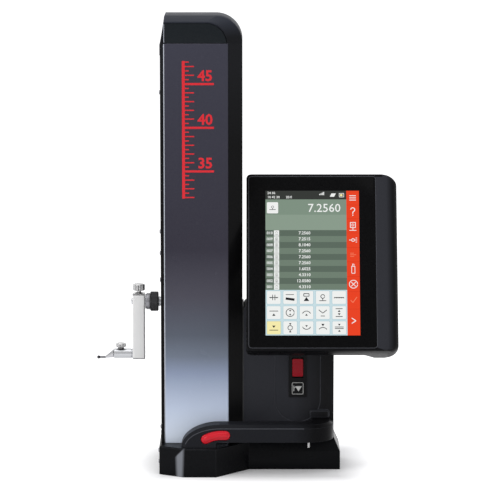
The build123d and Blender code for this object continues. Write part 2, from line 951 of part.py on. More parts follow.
# Top cap with a bevel that runs over the top and down the rear
cap_rear_radius = column_top - cap_bottom
with BuildPart() as top_cap:
    with BuildSketch(Plane.XZ.offset(-rear_flat_half)) as cap_middle:
        with BuildLine():
            Polyline(
                (column_rear, cap_bottom),
                (column_front, cap_bottom),
                (column_front + cap_front_slope, column_top),
                (column_rear - cap_rear_radius, column_top),
            )
            RadiusArc((column_rear - cap_rear_radius, column_top), (column_rear, cap_bottom), cap_rear_radius)
        make_face()
    extrude(amount=rear_flat_half * 2)
    bevel_top = column_top - cap_top_bevel
    inner_radius = bevel_top - cap_bottom
    for side in (-1, 1):
        with BuildSketch(Plane.XZ.offset(-side * rear_flat_half)):
            with BuildLine():
                Polyline(
                    (column_rear, cap_bottom),
                    (column_front, cap_bottom),
                    (column_front + cap_front_slope, column_top),
                    (column_rear - cap_rear_radius, column_top),
                )
                RadiusArc(
                    (column_rear - cap_rear_radius, column_top), (column_rear, cap_bottom), cap_rear_radius
                )
            make_face()
        with BuildSketch(Plane.XZ.offset(-side * half_column)):
            with BuildLine():
                Polyline(
                    (bevel_start, cap_bottom),
                    (column_front, cap_bottom),
                    (column_front + cap_front_slope, bevel_top),
                    (bevel_start - inner_radius, bevel_top),
                )
                RadiusArc((bevel_start - inner_radius, bevel_top), (bevel_start, cap_bottom), inner_radius)
            make_face()
        loft(ruled=True)
    # pockets for the side inserts, and the hollow over the mechanism
    for side in (-1, 1):
        outer = half_column if side > 0 else -half_column + insert_thickness
        with BuildSketch(Plane.XZ.offset(-outer)) as pocket:
            with BuildLine():
                Polyline(
                    (bevel_start - insert_gap, cap_bottom),
                    (panel_front, cap_bottom),
                    (panel_front, bevel_top - insert_gap),
                    (bevel_start - inner_radius, bevel_top - insert_gap),
                )
                RadiusArc(
                    (bevel_start - inner_radius, bevel_top - insert_gap),
                    (bevel_start - insert_gap, cap_bottom),
                    inner_radius - insert_gap,
                )
            make_face()
        extrude(amount=insert_thickness, mode=Mode.SUBTRACT)
    block(
        (column_front + cap_wall, bevel_start),
        (-profile_half + cap_wall, profile_half - cap_wall),
        (cap_bottom, column_top - cap_wall - cap_top_bevel),
        Mode.SUBTRACT,
    )
save(top_cap, "top_cap")

with BuildPart() as cap_inserts:
    for side in (-1, 1):
        outer = half_column if side > 0 else -half_column + insert_thickness
        with BuildSketch(Plane.XZ.offset(-outer)):
            with BuildLine():
                Polyline(
                    (bevel_start - insert_gap, cap_bottom),
                    (panel_front, cap_bottom),
                    (panel_front, bevel_top - insert_gap),
                    (bevel_start - inner_radius, bevel_top - insert_gap),
                )
                RadiusArc(
                    (bevel_start - inner_radius, bevel_top - insert_gap),
                    (bevel_start - insert_gap, cap_bottom),
                    inner_radius - insert_gap,
                )
            make_face()
        extrude(amount=insert_thickness)
save(cap_inserts, "cap_inserts")


# Probe carrier: spindle, knurled clamp ring, collar, arm and its screws
neck_left = column_front - neck_reach
ring_left = neck_left - ring_width
collar_left = ring_left - collar_width
arm_left = collar_left - arm_thickness
arm_middle = arm_left + arm_thickness / 2
arm_top = spindle_height + arm_top_rise
arm_bottom = spindle_height - arm_bottom_drop
sleeve_height = spindle_height - sleeve_drop
sleeve_left = arm_left - sleeve_length

with BuildPart() as probe_spindle:
    bar_x(neck_left, plate_front, neck_diameter / 2, 0, spindle_height)
    bar_x(arm_left - spindle_end, block_front, spindle_diameter / 2, 0, spindle_height)
    chamfer(probe_spindle.edges().filter_by(GeomType.CIRCLE).sort_by(Axis.X)[0], length=1)
save(probe_spindle, "probe_spindle")

with BuildPart() as spindle_collar:
    bar_x(collar_left + clearance, ring_left, collar_diameter / 2, 0, spindle_height)
    chamfer(spindle_collar.edges().filter_by(GeomType.CIRCLE), length=0.6)
    bar_x(collar_left, ring_left, spindle_diameter / 2, 0, spindle_height, Mode.SUBTRACT)
save(spindle_collar, "spindle_collar")

with BuildPart() as clamp_ring:
    bar_x(ring_left + clearance, neck_left - clearance, ring_diameter / 2, 0, spindle_height)
    chamfer(clamp_ring.edges().filter_by(GeomType.CIRCLE), length=1)
    with BuildSketch(Plane.YZ.offset(ring_left)) as flutes:
        with Locations((0, spindle_height)):
            with PolarLocations(ring_diameter / 2, ring_flutes):
                RegularPolygon(ring_flute_depth, 4)
    extrude(flutes.sketch, amount=ring_width, mode=Mode.SUBTRACT)
    bar_x(
        ring_left, neck_left, spindle_diameter / 2 + running_fit, 0, spindle_height, Mode.SUBTRACT
    )
save(clamp_ring, "clamp_ring")

with BuildPart() as probe_arm:
    block(
        (arm_left, collar_left - clearance), (-arm_depth / 2, arm_depth / 2), (arm_bottom, arm_top)
    )
    fillet(probe_arm.edges().filter_by(Axis.X), radius=arm_edge_round)
    chamfer(probe_arm.edges().group_by(Axis.X)[0], length=0.8)
    bar_x(
        arm_left, collar_left, spindle_diameter / 2 + running_fit, 0, spindle_height, Mode.SUBTRACT
    )
    bar_x(arm_left, collar_left, sleeve_spigot_diameter / 2, 0, sleeve_height, Mode.SUBTRACT)
    bar_z(
        spindle_height, arm_top, arm_screw_diameter / 2 + running_fit, arm_middle, 0, Mode.SUBTRACT
    )
save(probe_arm, "probe_arm")

sleeve_screw_x = arm_left - small_knob_offset
with BuildPart() as insert_sleeve:
    bar_x(sleeve_left, arm_left, sleeve_diameter / 2, 0, sleeve_height)
    chamfer(insert_sleeve.edges().filter_by(GeomType.CIRCLE).sort_by(Axis.X)[0], length=0.5)
    bar_x(arm_left, collar_left - clearance, sleeve_spigot_diameter / 2, 0, sleeve_height)
    bar_x(
        sleeve_left,
        collar_left - clearance,
        shank_diameter / 2 + running_fit,
        0,
        sleeve_height,
        Mode.SUBTRACT,
    )
    bar_z(
        sleeve_height,
        sleeve_height + sleeve_diameter,
        sleeve_screw_diameter / 2 + running_fit,
        sleeve_screw_x,
        0,
        Mode.SUBTRACT,
    )
save(insert_sleeve, "insert_sleeve")


def thumbscrew(x, seat, tip, shank_radius, knob_gap, knob_diameter, knob_height):
    """Thumbscrew about Z: fluted knob, neck and shank."""
    knob_bottom = seat + knob_gap
    bar_z(knob_bottom, knob_bottom + knob_height, knob_diameter / 2, x)
    with BuildSketch(Plane.XY.offset(knob_bottom)) as flutes:
        with Locations((x, 0)):
            with PolarLocations(knob_diameter / 2, knob_flutes):
                RegularPolygon(knob_flute_depth, 4)
    extrude(flutes.sketch, amount=knob_height, mode=Mode.SUBTRACT)
    bar_z(seat + clearance, knob_bottom, shank_radius + 1, x)
    bar_z(tip, seat + clearance, shank_radius, x)


with BuildPart() as arm_thumbscrew:
    thumbscrew(
        arm_middle,
        arm_top,
        spindle_height + spindle_diameter / 2 + clearance,
        arm_screw_diameter / 2,
        top_knob_gap,
        top_knob_diameter,
        top_knob_height,
    )
save(arm_thumbscrew, "arm_thumbscrew")

with BuildPart() as insert_thumbscrew:
    thumbscrew(
        sleeve_screw_x,
        sleeve_height + sleeve_diameter / 2,
        sleeve_height + shank_diameter / 2 + clearance,
        sleeve_screw_diameter / 2,
        small_knob_gap,
        small_knob_diameter,
        small_knob_height,
    )
save(insert_thumbscrew, "insert_thumbscrew")

# Measuring insert: shank, offset cone, thin rod and ball
stylus_left = sleeve_left - clearance
cone_left = stylus_left - stylus_cone_length
rod_left = cone_left - stylus_rod_length
rod_height = sleeve_height - stylus_drop
ball_radius = ball_diameter / 2
rod_radius = stylus_rod_diameter / 2
seat_angle = asin(rod_radius / ball_radius)
ball_x = rod_left - ball_radius * 0.75

with BuildPart() as stylus:
    # the cone leans from the shank down to the rod, and is faced off square at the sleeve
    cone_tip = Vector(cone_left, 0, rod_height)
    cone_base = Vector(stylus_left, 0, sleeve_height)
    lean = (cone_base - cone_tip).normalized()
    base_radius = stylus_base_diameter / 2
    cone_taper = (base_radius - rod_radius) / (cone_base - cone_tip).length
    overrun = base_radius
    cone_plane = Plane(origin=cone_tip, x_dir=(0, 1, 0), z_dir=lean)
    with BuildSketch(cone_plane) as cone_start:
        Circle(rod_radius)
    cone_length = (cone_base - cone_tip).length + overrun
    extrude(cone_start.sketch, amount=cone_length, taper=-degrees(atan(cone_taper)))
    block(
        (stylus_left, stylus_left + 3 * base_radius),
        (-2 * base_radius, 2 * base_radius),
        (sleeve_height - 2 * base_radius, sleeve_height + 4 * base_radius),
        Mode.SUBTRACT,
    )
    bar_x(stylus_left, arm_middle, shank_diameter / 2, 0, sleeve_height)
    # the rod ends in a cup that holds the ball
    with BuildSketch(Plane.XZ) as rod_profile:
        with BuildLine():
            seat_x = ball_x + (ball_radius**2 - rod_radius**2) ** 0.5
            seat_middle = (
                ball_x + ball_radius * cos(seat_angle / 2),
                rod_height + ball_radius * sin(seat_angle / 2),
            )
            Polyline(
                (ball_x + ball_radius, rod_height),
                (cone_left, rod_height),
                (cone_left, rod_height + rod_radius),
                (seat_x, rod_height + rod_radius),
            )
            ThreePointArc(
                (seat_x, rod_height + rod_radius), seat_middle, (ball_x + ball_radius, rod_height)
            )
        make_face()
    revolve(rod_profile.sketch, axis=Axis((0, 0, rod_height), (1, 0, 0)))
save(stylus, "stylus")

with BuildPart() as probe_ball:
    with Locations((ball_x, 0, rod_height)):
        Sphere(ball_radius)
save(probe_ball, "probe_ball")

# Rear housing: front and back shells that meet in the middle
housing_top = tail_height + housing_height
housing_middle_x = (housing_left + housing_right) / 2
housing_middle_z = (tail_height + housing_top) / 2
housing_post_places = [
    (x, z)
    for x in (housing_left + housing_post_inset, housing_right - housing_post_inset)
    for z in (tail_height + housing_post_inset, housing_top - housing_post_inset)
]
jog_plate_bottom = jog_height - jog_plate_length / 2


def housing_shell(side):
    """Half of the housing, open towards the other half; side is -1 in front and 1 behind."""
    outer_y = side * housing_half_width
    with BuildSketch(Plane.XZ.offset(-outer_y)) as face:
        with Locations((housing_middle_x, housing_middle_z)):
            RectangleRounded(housing_length, housing_height, housing_corner_radius)
    extrude(face.sketch, amount=side * housing_half_width)
    with BuildSketch(Plane.XZ.offset(-side * (housing_half_width - housing_wall))) as hollow:
        with Locations((housing_middle_x, housing_middle_z)):
            RectangleRounded(
                housing_length - 2 * housing_wall,
                housing_height - 2 * housing_wall,
                housing_corner_radius - housing_wall,
            )
    extrude(hollow.sketch, amount=side * housing_half_width, mode=Mode.SUBTRACT)
    post_length = housing_half_width - housing_wall / 2
    for x, z in housing_post_places:
        post(Plane.XZ, housing_post_radius, -side * post_length, x, z)
        post(Plane.XZ, cover_screw_shank / 2, -side * housing_half_width, x, z, shank_sides, Mode.SUBTRACT)


with BuildPart() as housing_front:
    housing_shell(-1)
    # stadium-ended panel line under the controls
    with BuildSketch(Plane.XZ.offset(housing_half_width)) as recess:
        recess_straight = (housing_top + recess_bottom + recess_half_width) / 2
        with Locations((jog_centre_x, recess_straight)):
            Rectangle(2 * recess_half_width, housing_top - recess_bottom - recess_half_width)
        with Locations((jog_centre_x, recess_bottom + recess_half_width)):
            Circle(recess_half_width)
    extrude(recess.sketch, amount=-recess_depth, mode=Mode.SUBTRACT)
    # window for the control plate
    block(
        (jog_centre_x - jog_plate_width / 2, jog_centre_x + jog_plate_width / 2),
        (-housing_half_width - 1, -housing_half_width + housing_wall + 1),
        (jog_plate_bottom, jog_plate_bottom + jog_plate_length),
        Mode.SUBTRACT,
    )
    with BuildSketch(Plane.XZ.offset(housing_half_width)) as hood:
        with Locations((hood_left + hood_width / 2, handle_top + hood_height / 2)):
            RectangleRounded(hood_width, hood_height, 3)
    extrude(hood.sketch, amount=hood_proud)
    chamfer(
        housing_front.faces().sort_by(Axis.Y)[0].edges(),
        length=1.2,
    )
save(housing_front, "housing_front")

with BuildPart() as housing_back:
    housing_shell(1)
    chamfer(housing_back.faces().sort_by(Axis.Y)[-1].outer_wire().edges(), length=housing_edge_round)
    for x, z in housing_post_places:
        post(
            Plane.XZ.offset(-housing_half_width),
            cover_screw_head / 2,
            cover_screw_head_height,
            x,
            z,
            head_sides,
            Mode.SUBTRACT,
        )
save(housing_back, "housing_back")

with BuildPart() as housing_screws:
    for x, z in housing_post_places:
        screw(
            Plane.XZ.offset(-housing_half_width),
            cover_screw_head / 2,
            cover_screw_head_height,
            cover_screw_shank / 2,
            housing_half_width - cover_screw_head_height + housing_screw_reach,
            x,
            z,
        )
save(housing_screws, "housing_screws")

# Control plate with a rocker between two tiles
plate_y = -housing_half_width - jog_plate_proud + recess_depth
rocker_y = plate_y + jog_plate_thickness / 2
rocker_reach = ((rocker_length / 2) ** 2 + (rocker_thickness / 2) ** 2) ** 0.5
window_height = 2 * (rocker_reach + cap_clearance)
window_width = rocker_width + 2 * cap_clearance

with BuildPart() as jog_plate:
    block(
        (jog_centre_x - jog_plate_width / 2, jog_centre_x + jog_plate_width / 2),
        (plate_y, plate_y + jog_plate_thickness),
        (jog_plate_bottom, jog_plate_bottom + jog_plate_length),
    )
    block(
        (jog_centre_x - window_width / 2, jog_centre_x + window_width / 2),
        (plate_y, plate_y + jog_plate_thickness),
        (jog_height - window_height / 2, jog_height + window_height / 2),
        Mode.SUBTRACT,
    )
    bar_x(
        jog_centre_x - rocker_width / 2 - rocker_trunnion_length - clearance,
        jog_centre_x + rocker_width / 2 + rocker_trunnion_length + clearance,
        rocker_trunnion_diameter / 2 + running_fit,
        rocker_y,
        jog_height,
        Mode.SUBTRACT,
    )
save(jog_plate, "jog_plate")

with BuildPart() as jog_tiles:
    for side in (-1, 1):
        with BuildSketch(Plane.XZ.offset(-plate_y)) as tile:
            with Locations((jog_centre_x, jog_height + side * tile_offset)):
                RectangleRounded(tile_width, tile_height, tile_corner)
        extrude(tile.sketch, amount=tile_thickness)
save(jog_tiles, "jog_tiles")

with BuildPart() as jog_lever:
    with BuildSketch(Plane.YZ.offset(jog_centre_x - rocker_width / 2)) as rocker_side:
        with BuildLine():
            lower = (rocker_y - rocker_thickness / 2, jog_height - rocker_length / 2)
            upper = (rocker_y - rocker_thickness / 2, jog_height + rocker_length / 2)
            ThreePointArc(lower, (rocker_y - rocker_thickness / 2 + 1.4, jog_height), upper)
            Polyline(
                upper,
                (rocker_y + rocker_thickness / 2 - 2, jog_height + rocker_length / 2),
                (rocker_y + rocker_thickness / 2, jog_height + rocker_length / 4),
                (rocker_y + rocker_thickness / 2, jog_height - rocker_length / 4),
                (rocker_y + rocker_thickness / 2 - 2, jog_height - rocker_length / 2),
                lower,
            )
        make_face()
    extrude(rocker_side.sketch, amount=rocker_width)
    fillet(jog_lever.edges().filter_by(Axis.X).group_by(Axis.Y)[0], radius=1.2)
    bar_x(
        jog_centre_x - rocker_width / 2 - rocker_trunnion_length,
        jog_centre_x + rocker_width / 2 + rocker_trunnion_length,
        rocker_trunnion_diameter / 2,
        rocker_y,
        jog_height,
    )
save(jog_lever, "jog_lever")

# Inside the housing: an air pump on the floor and the control board on the back posts
floor_z = tail_height + housing_wall
with BuildPart() as air_pump:
    pump_left = housing_left + pump_inset
    pump_right = pump_left + pump_length
    pump_middle_z = floor_z + pump_height / 2
    block((pump_left, pump_right), (-pump_width / 2, pump_width / 2), (floor_z, floor_z + pump_height))
    chamfer(air_pump.edges().filter_by(Axis.Z), length=pump_corner)
    pump_motor_right = pump_right + pump_motor_length
    post(
        Plane.YZ.offset(pump_right),
        pump_motor_diameter / 2,
        pump_motor_length,
        0,
        pump_middle_z,
        barrel_sides,
    )
    post(Plane.YZ.offset(pump_motor_right), pump_boss, pump_boss, 0, pump_middle_z)
    bar_z(
        floor_z + pump_height,
        floor_z + pump_height + pump_outlet_length,
        pump_outlet_diameter / 2,
        pump_left + pump_length * 0.3,
    )
    block(
        (pump_right + pump_boss, pump_motor_right - pump_boss),
        (-pump_motor_diameter / 4, pump_motor_diameter / 4),
        (floor_z, pump_middle_z - pump_motor_diameter / 2 + pump_boss / 2),
    )
save(air_pump, "air_pump")

with BuildPart() as control_board:
    board_bottom = floor_z + pump_height + pump_outlet_length + board_margin * 2
    board_top = housing_top - housing_wall - board_margin
    board_left = housing_left + housing_wall + board_margin
    board_right = housing_right - housing_wall - board_margin
    block((board_left, board_right), (board_y, board_y + board_thickness), (board_bottom, board_top))
    for chip_x, chip_z, chip in ((0.3, 0.7, 16), (0.62, 0.72, 12), (0.45, 0.3, 20)):
        middle_x = board_left + (board_right - board_left) * chip_x
        middle_z = board_bottom + (board_top - board_bottom) * chip_z
        block(
            (middle_x - chip / 2, middle_x + chip / 2),
            (board_y - 2, board_y),
            (middle_z - chip / 2, middle_z + chip / 2),
        )
    # feet that carry the board on the back shell
    for foot_x in (board_left + board_foot_inset_x, board_right - board_foot_inset_x):
        for foot_z in (board_bottom + board_foot_inset_z, board_top - board_foot_inset_z):
            post(
                Plane.XZ.offset(-board_y - board_thickness),
                board_foot_radius,
                board_y + board_thickness - housing_half_width + housing_wall,
                foot_x,
                foot_z,
            )
    for x, z in housing_post_places:
        post(
            Plane.XZ.offset(-board_y - 2 * board_thickness),
            housing_post_radius + clearance,
            4 * board_thickness,
            x,
            z,
            head_sides,
            Mode.SUBTRACT,
        )
save(control_board, "control_board")

# Handle: a bar on the foot that turns back to the housing, over a finger gap
handle_floor = base_height + handle_clearance
handle_right = handle_turn_x + handle_turn_radius
turn_centre_y = handle_front + handle_turn_radius
handle_inner_x = handle_right - handle_width


def handle_plan(inset, left_x, back_y):
    """Plan of the bar, drawn inside its outline by the inset."""
    outer = handle_turn_radius - inset
    inner_x = handle_inner_x + inset
    with BuildSketch(Plane.XY.offset(base_height), mode=Mode.PRIVATE) as plan:
        with BuildLine():
            Polyline(
                (handle_right - inset, back_y),
                (inner_x, back_y),
                (inner_x, handle_back - inset + handle_inner_corner),
                (inner_x - handle_inner_corner, handle_back - inset),
                (left_x, handle_back - inset),
                (left_x, handle_front + inset),
                (handle_turn_x, handle_front + inset),
            )
            RadiusArc(
                (handle_turn_x, handle_front + inset), (handle_right - inset, turn_centre_y), -outer
            )
            Line((handle_right - inset, turn_centre_y), (handle_right - inset, back_y))
        make_face()
    return plan.sketch


def button_outline(grow):
    """Curved slot of the air button, seen from the front."""
    with BuildSketch(Plane.XZ.offset(-handle_front), mode=Mode.PRIVATE) as outline:
        with BuildLine() as centre:
            ThreePointArc(
                (button_left_x, button_left_z),
                (button_mid_x, button_mid_z),
                (button_right_x, button_right_z),
            )
        SlotArc(arc=centre.edges()[0], height=button_width + 2 * grow)
    return outline.sketch


with BuildPart() as handle_shell:
    extrude(handle_plan(0, handle_left, -housing_half_width), amount=handle_top - base_height)
    with BuildSketch(Plane.XZ) as handle_side:
        with BuildLine():
            Polyline(
                (handle_left + handle_end_run, handle_top),
                (handle_right, handle_top),
                (handle_right, handle_floor),
                (foot_right, handle_floor),
                (foot_right, base_height),
                (handle_left, base_height),
            )
            EllipticalCenterArc(
                (handle_left + handle_end_run, base_height),
                handle_end_run,
                handle_top - base_height,
                start_angle=quarter_turn,
                arc_size=quarter_turn,
            )
        make_face()
    extrude(handle_side.sketch, amount=foot_width, both=True, mode=Mode.INTERSECT)
    # the bevel runs along the outer edge of the top, round the turn
    outer_edge_x = (handle_turn_x + handle_right) / 2
    chamfer(
        handle_shell.faces().sort_by(Axis.Z)[-1].edges().filter_by(
            lambda edge: edge.center().Y < handle_front + clearance or edge.center().X > outer_edge_x
        ).filter_by(lambda edge: edge.center().Y < -housing_half_width - clearance),
        length=handle_bevel,
    )
    roof = handle_top - handle_roof
    cavity_left = button_left_x - button_width / 2 - button_margin
    step_x = foot_right - handle_wall
    plate_left = button_right_x - button_width / 2 - button_margin
    inner_plan = handle_plan(handle_wall, cavity_left, -housing_half_width - handle_wall)
    plate_level = handle_floor + handle_plate_thickness
    extrude(
        inner_plan.moved(Location((0, 0, plate_level - base_height))),
        amount=roof - plate_level,
        mode=Mode.SUBTRACT,
    )
    block(
        (cavity_left, step_x),
        (handle_front + handle_wall, handle_back - handle_wall),
        (base_height, roof),
        Mode.SUBTRACT,
    )
    plate_plan = handle_plan(handle_wall, plate_left, -housing_half_width - handle_wall)
    extrude(
        plate_plan.moved(Location((0, 0, handle_floor - base_height))),
        amount=plate_level - handle_floor,
        mode=Mode.SUBTRACT,
    )
    extrude(
        button_outline(cap_clearance), amount=-(button_depth + button_travel), mode=Mode.SUBTRACT
    )
save(handle_shell, "handle_shell")

with BuildPart() as handle_plate:
    extrude(
        plate_plan.moved(Location((0, 0, handle_floor - base_height))),
        amount=plate_level - handle_floor,
    )
save(handle_plate, "handle_plate")

stem_x = (button_left_x + button_right_x) / 2
stem_z = button_mid_z
valve_front = handle_front + button_depth - button_proud + button_travel + clearance
with BuildPart() as air_button:
    extrude(button_outline(0).moved(Location((0, -button_proud, 0))), amount=-button_depth)
    chamfer(air_button.faces().sort_by(Axis.Y)[0].edges(), length=button_edge)
    bar_y(
        handle_front + button_depth - button_proud - 1,
        valve_front + stem_grip,
        button_stem_diameter / 2,
        stem_x,
        stem_z,
    )
save(air_button, "air_button")

with BuildPart() as air_valve:
    block(
        (stem_x - valve_half_width, stem_x + valve_half_width),
        (valve_front, handle_back - handle_wall),
        (plate_level, plate_level + valve_height),
    )
    bar_y(
        valve_front,
        valve_front + stem_grip + button_travel + clearance,
        button_stem_diameter / 2 + running_fit,
        stem_x,
        stem_z,
        Mode.SUBTRACT,
    )
save(air_valve, "air_valve")

# Display head: a moulded back shell with a thick grip down its right side
tilt_sin = sin(radians(display_tilt))
tilt_cos = cos(radians(display_tilt))
display_corner = (display_left, display_front_y, display_front_z)
display_face = Plane(origin=display_corner, x_dir=(1, 0, 0), z_dir=(0, -tilt_cos, tilt_sin))
display_section = Plane(origin=display_corner, x_dir=(1, 0, 0), z_dir=(0, tilt_sin, tilt_cos))


def display_block(x_range, up_range, depth_range, mode=Mode.ADD):
    """Block in the display's own frame: across, up along it, and deep into it."""
    with BuildSketch(display_face.offset(-depth_range[1])) as section:
        with Locations(((x_range[0] + x_range[1]) / 2, (up_range[0] + up_range[1]) / 2)):
            Rectangle(x_range[1] - x_range[0], up_range[1] - up_range[0])
    extrude(section.sketch, amount=depth_range[1] - depth_range[0], mode=mode)


post_places = [
    (across, up)
    for across in (display_post_inset, body_width - display_post_inset)
    for up in (display_post_inset, display_height - display_post_inset)
]
back_inside = display_thickness - display_wall
frame_depth = glass_thickness + lcd_thickness
post_start = frame_depth + frame_thickness
glass_across = (glass_margin, body_width - glass_grip_gap)
glass_up = (glass_margin, display_height - glass_margin)
inside_across = (glass_margin + glass_ledge, body_width - glass_ledge)
inside_up = (glass_margin + glass_ledge, display_height - glass_margin - glass_ledge)

with BuildPart() as display_shell:
    with BuildSketch(display_section) as shell_section:
        grip_start = body_width - grip_overlap
        section_corners = {
            (0, 0): display_edge_round / 2,
            (display_width, 0): grip_front_radius,
            (display_width, grip_thickness): grip_rear_radius,
            (grip_start + grip_slope, grip_thickness): grip_edge_radius,
            (grip_start, display_thickness): grip_root_radius,
            (0, display_thickness): display_edge_round,
        }
        with BuildLine():
            Polyline(*section_corners, close=True)
        make_face()
        for (across, deep), corner_radius in section_corners.items():
            fillet(shell_section.vertices().sort_by_distance((across, deep))[0], radius=corner_radius)
    extrude(amount=display_height)
    chamfer(
        display_shell.faces().sort_by(Axis.Z)[0].edges() + display_shell.faces().sort_by(Axis.Z)[-1].edges(),
        length=display_end_chamfer,
    )
    display_block(glass_across, glass_up, (0, glass_thickness), Mode.SUBTRACT)
    display_block(inside_across, inside_up, (glass_thickness, back_inside), Mode.SUBTRACT)
    screw_plane = display_face.offset(-display_thickness)
    for across, up in post_places:
        post(
            display_face.offset(-back_inside - display_wall / 2),
            display_post_diameter / 2,
            back_inside + display_wall / 2 - post_start,
            across,
            up,
        )
        screw(
            screw_plane,
            display_screw_head / 2,
            cover_screw_head_height,
            display_screw_diameter / 2,
            display_thickness - cover_screw_head_height - post_start,
            across,
            up,
            Mode.SUBTRACT,
        )
save(display_shell, "display_shell")

with BuildPart() as display_screws:
    for across, up in post_places:
        screw(
            screw_plane,
            display_screw_head / 2,
            cover_screw_head_height,
            display_screw_diameter / 2,
            display_thickness - cover_screw_head_height - post_start,
            across,
            up,
        )
save(display_screws, "display_screws")

with BuildPart() as display_glass:
    display_block(glass_across, glass_up, (0, glass_thickness))
save(display_glass, "display_glass")

with BuildPart() as lcd_panel:
    display_block(
        (screen_left - lcd_rim, screen_left + screen_width + lcd_rim),
        (screen_bottom - lcd_rim, screen_bottom + screen_height + lcd_rim),
        (glass_thickness, frame_depth),
    )
save(lcd_panel, "lcd_panel")

with BuildPart() as display_frame:
    display_block(inside_across, inside_up, (frame_depth, post_start))
save(display_frame, "display_frame")

with BuildPart() as display_board:
    board_inset = display_post_inset + display_post_diameter / 2 + board_post_gap
    display_block(
        (board_inset, body_width - board_inset),
        (board_inset, display_height - board_inset),
        (post_start, post_start + board_thickness),
    )
    for across, up, chip in ((0.35, 0.7, 18), (0.6, 0.66, 12), (0.45, 0.35, 14)):
        display_block(
            (body_width * across - chip / 2, body_width * across + chip / 2),
            (display_height * up - chip / 2, display_height * up + chip / 2),
            (post_start + board_thickness, post_start + board_thickness + chip_thickness),
        )
save(display_board, "display_board")

with BuildPart() as battery_pack:
    display_block(
        (body_width * 0.18, body_width * 0.82),
        (display_height * 0.28, display_height * 0.62),
        (back_inside - battery_thickness, back_inside),
    )
save(battery_pack, "battery_pack")

# Tilt hinge between the housing and the display
hinge_to_corner_y = hinge_y - display_front_y
hinge_to_corner_z = hinge_z - display_front_z
hinge_up = hinge_to_corner_y * tilt_sin + hinge_to_corner_z * tilt_cos
hinge_depth = hinge_to_corner_y * tilt_cos - hinge_to_corner_z * tilt_sin
hinge_across = hinge_x - display_left
barrel_half = hinge_barrel_length / 2
lug_inner = barrel_half + hinge_lug_gap
lug_outer = lug_inner + hinge_lug_width
hinge_plate_front = -housing_half_width - hinge_plate_thickness

with BuildPart() as tilt_bracket:
    block(
        (hinge_x - lug_outer - hinge_foot_margin, hinge_x + lug_outer + hinge_foot_margin),
        (hinge_plate_front, -housing_half_width),
        (hinge_z - hinge_foot_drop, hinge_z + hinge_foot_rise),
    )
    for side in (-1, 1):
        near = hinge_x + min(side * lug_inner, side * lug_outer)
        with BuildSketch(Plane.YZ.offset(near)) as lug:
            with Locations((hinge_y, hinge_z)):
                Circle(hinge_barrel_radius)
            with Locations((hinge_y, hinge_z)):
                Rectangle(
                    hinge_plate_front - hinge_y + hinge_plate_thickness / 2,
                    hinge_barrel_radius * 2,
                    align=(Align.MIN, Align.CENTER),
                )
        extrude(lug.sketch, amount=hinge_lug_width)
    bar_x(
        hinge_x - lug_outer,
        hinge_x + lug_outer,
        hinge_pin_diameter / 2,
        hinge_y,
        hinge_z,
        Mode.SUBTRACT,
    )
save(tilt_bracket, "tilt_bracket")

with BuildPart() as tilt_pin:
    bar_x(hinge_x - lug_outer, hinge_x + lug_outer, hinge_pin_diameter / 2, hinge_y, hinge_z)
    for x_from in (hinge_x - lug_outer - hinge_pin_head, hinge_x + lug_outer):
        bar_x(
            x_from, x_from + hinge_pin_head, hinge_pin_diameter / 2 + hinge_pin_head, hinge_y, hinge_z
        )
save(tilt_pin, "tilt_pin")

with BuildPart() as tilt_arm:
    display_block(
        (hinge_across - barrel_half - hinge_arm_margin, hinge_across + barrel_half + hinge_arm_margin),
        (hinge_up - hinge_plate_length / 2, hinge_up + hinge_plate_length / 2),
        (display_thickness, display_thickness + hinge_arm_thickness),
    )
    display_block(
        (hinge_across - barrel_half, hinge_across + barrel_half),
        (hinge_up - hinge_barrel_radius, hinge_up + hinge_barrel_radius),
        (display_thickness + hinge_arm_thickness - 1, hinge_depth),
    )
    bar_x(hinge_x - barrel_half, hinge_x + barrel_half, hinge_barrel_radius, hinge_y, hinge_z)
    bar_x(
        hinge_x - barrel_half,
        hinge_x + barrel_half,
        hinge_pin_diameter / 2 + running_fit,
        hinge_y,
        hinge_z,
        Mode.SUBTRACT,
    )
save(tilt_arm, "tilt_arm")
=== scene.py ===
import json
import bmesh
import bpy
import numpy as np
from functools import partial
from math import cos, pi, radians, sin
from types import SimpleNamespace
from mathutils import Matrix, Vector


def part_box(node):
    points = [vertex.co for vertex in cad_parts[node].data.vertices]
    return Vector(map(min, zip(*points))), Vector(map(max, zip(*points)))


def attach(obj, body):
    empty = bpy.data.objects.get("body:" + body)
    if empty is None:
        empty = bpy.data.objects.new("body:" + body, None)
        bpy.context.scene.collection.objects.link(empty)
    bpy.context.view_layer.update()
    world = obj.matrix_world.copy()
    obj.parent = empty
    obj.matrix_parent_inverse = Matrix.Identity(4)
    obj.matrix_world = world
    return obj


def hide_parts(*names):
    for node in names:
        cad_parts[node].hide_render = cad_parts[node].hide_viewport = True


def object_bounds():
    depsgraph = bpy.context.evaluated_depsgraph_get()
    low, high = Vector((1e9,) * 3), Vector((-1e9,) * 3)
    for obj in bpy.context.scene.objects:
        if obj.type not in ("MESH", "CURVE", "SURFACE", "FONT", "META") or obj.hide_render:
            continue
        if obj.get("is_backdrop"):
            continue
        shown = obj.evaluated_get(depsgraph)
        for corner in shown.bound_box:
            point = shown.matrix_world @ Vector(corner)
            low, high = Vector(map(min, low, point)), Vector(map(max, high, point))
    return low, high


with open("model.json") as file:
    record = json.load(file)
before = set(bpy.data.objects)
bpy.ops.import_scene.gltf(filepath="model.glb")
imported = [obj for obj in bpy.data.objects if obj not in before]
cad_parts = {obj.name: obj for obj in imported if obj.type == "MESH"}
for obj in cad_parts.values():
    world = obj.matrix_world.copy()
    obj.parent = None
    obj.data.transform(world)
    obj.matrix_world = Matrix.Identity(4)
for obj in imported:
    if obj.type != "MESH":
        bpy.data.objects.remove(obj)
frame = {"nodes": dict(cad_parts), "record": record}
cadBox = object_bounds()
nodes = frame["nodes"]
millimetre = 0.001
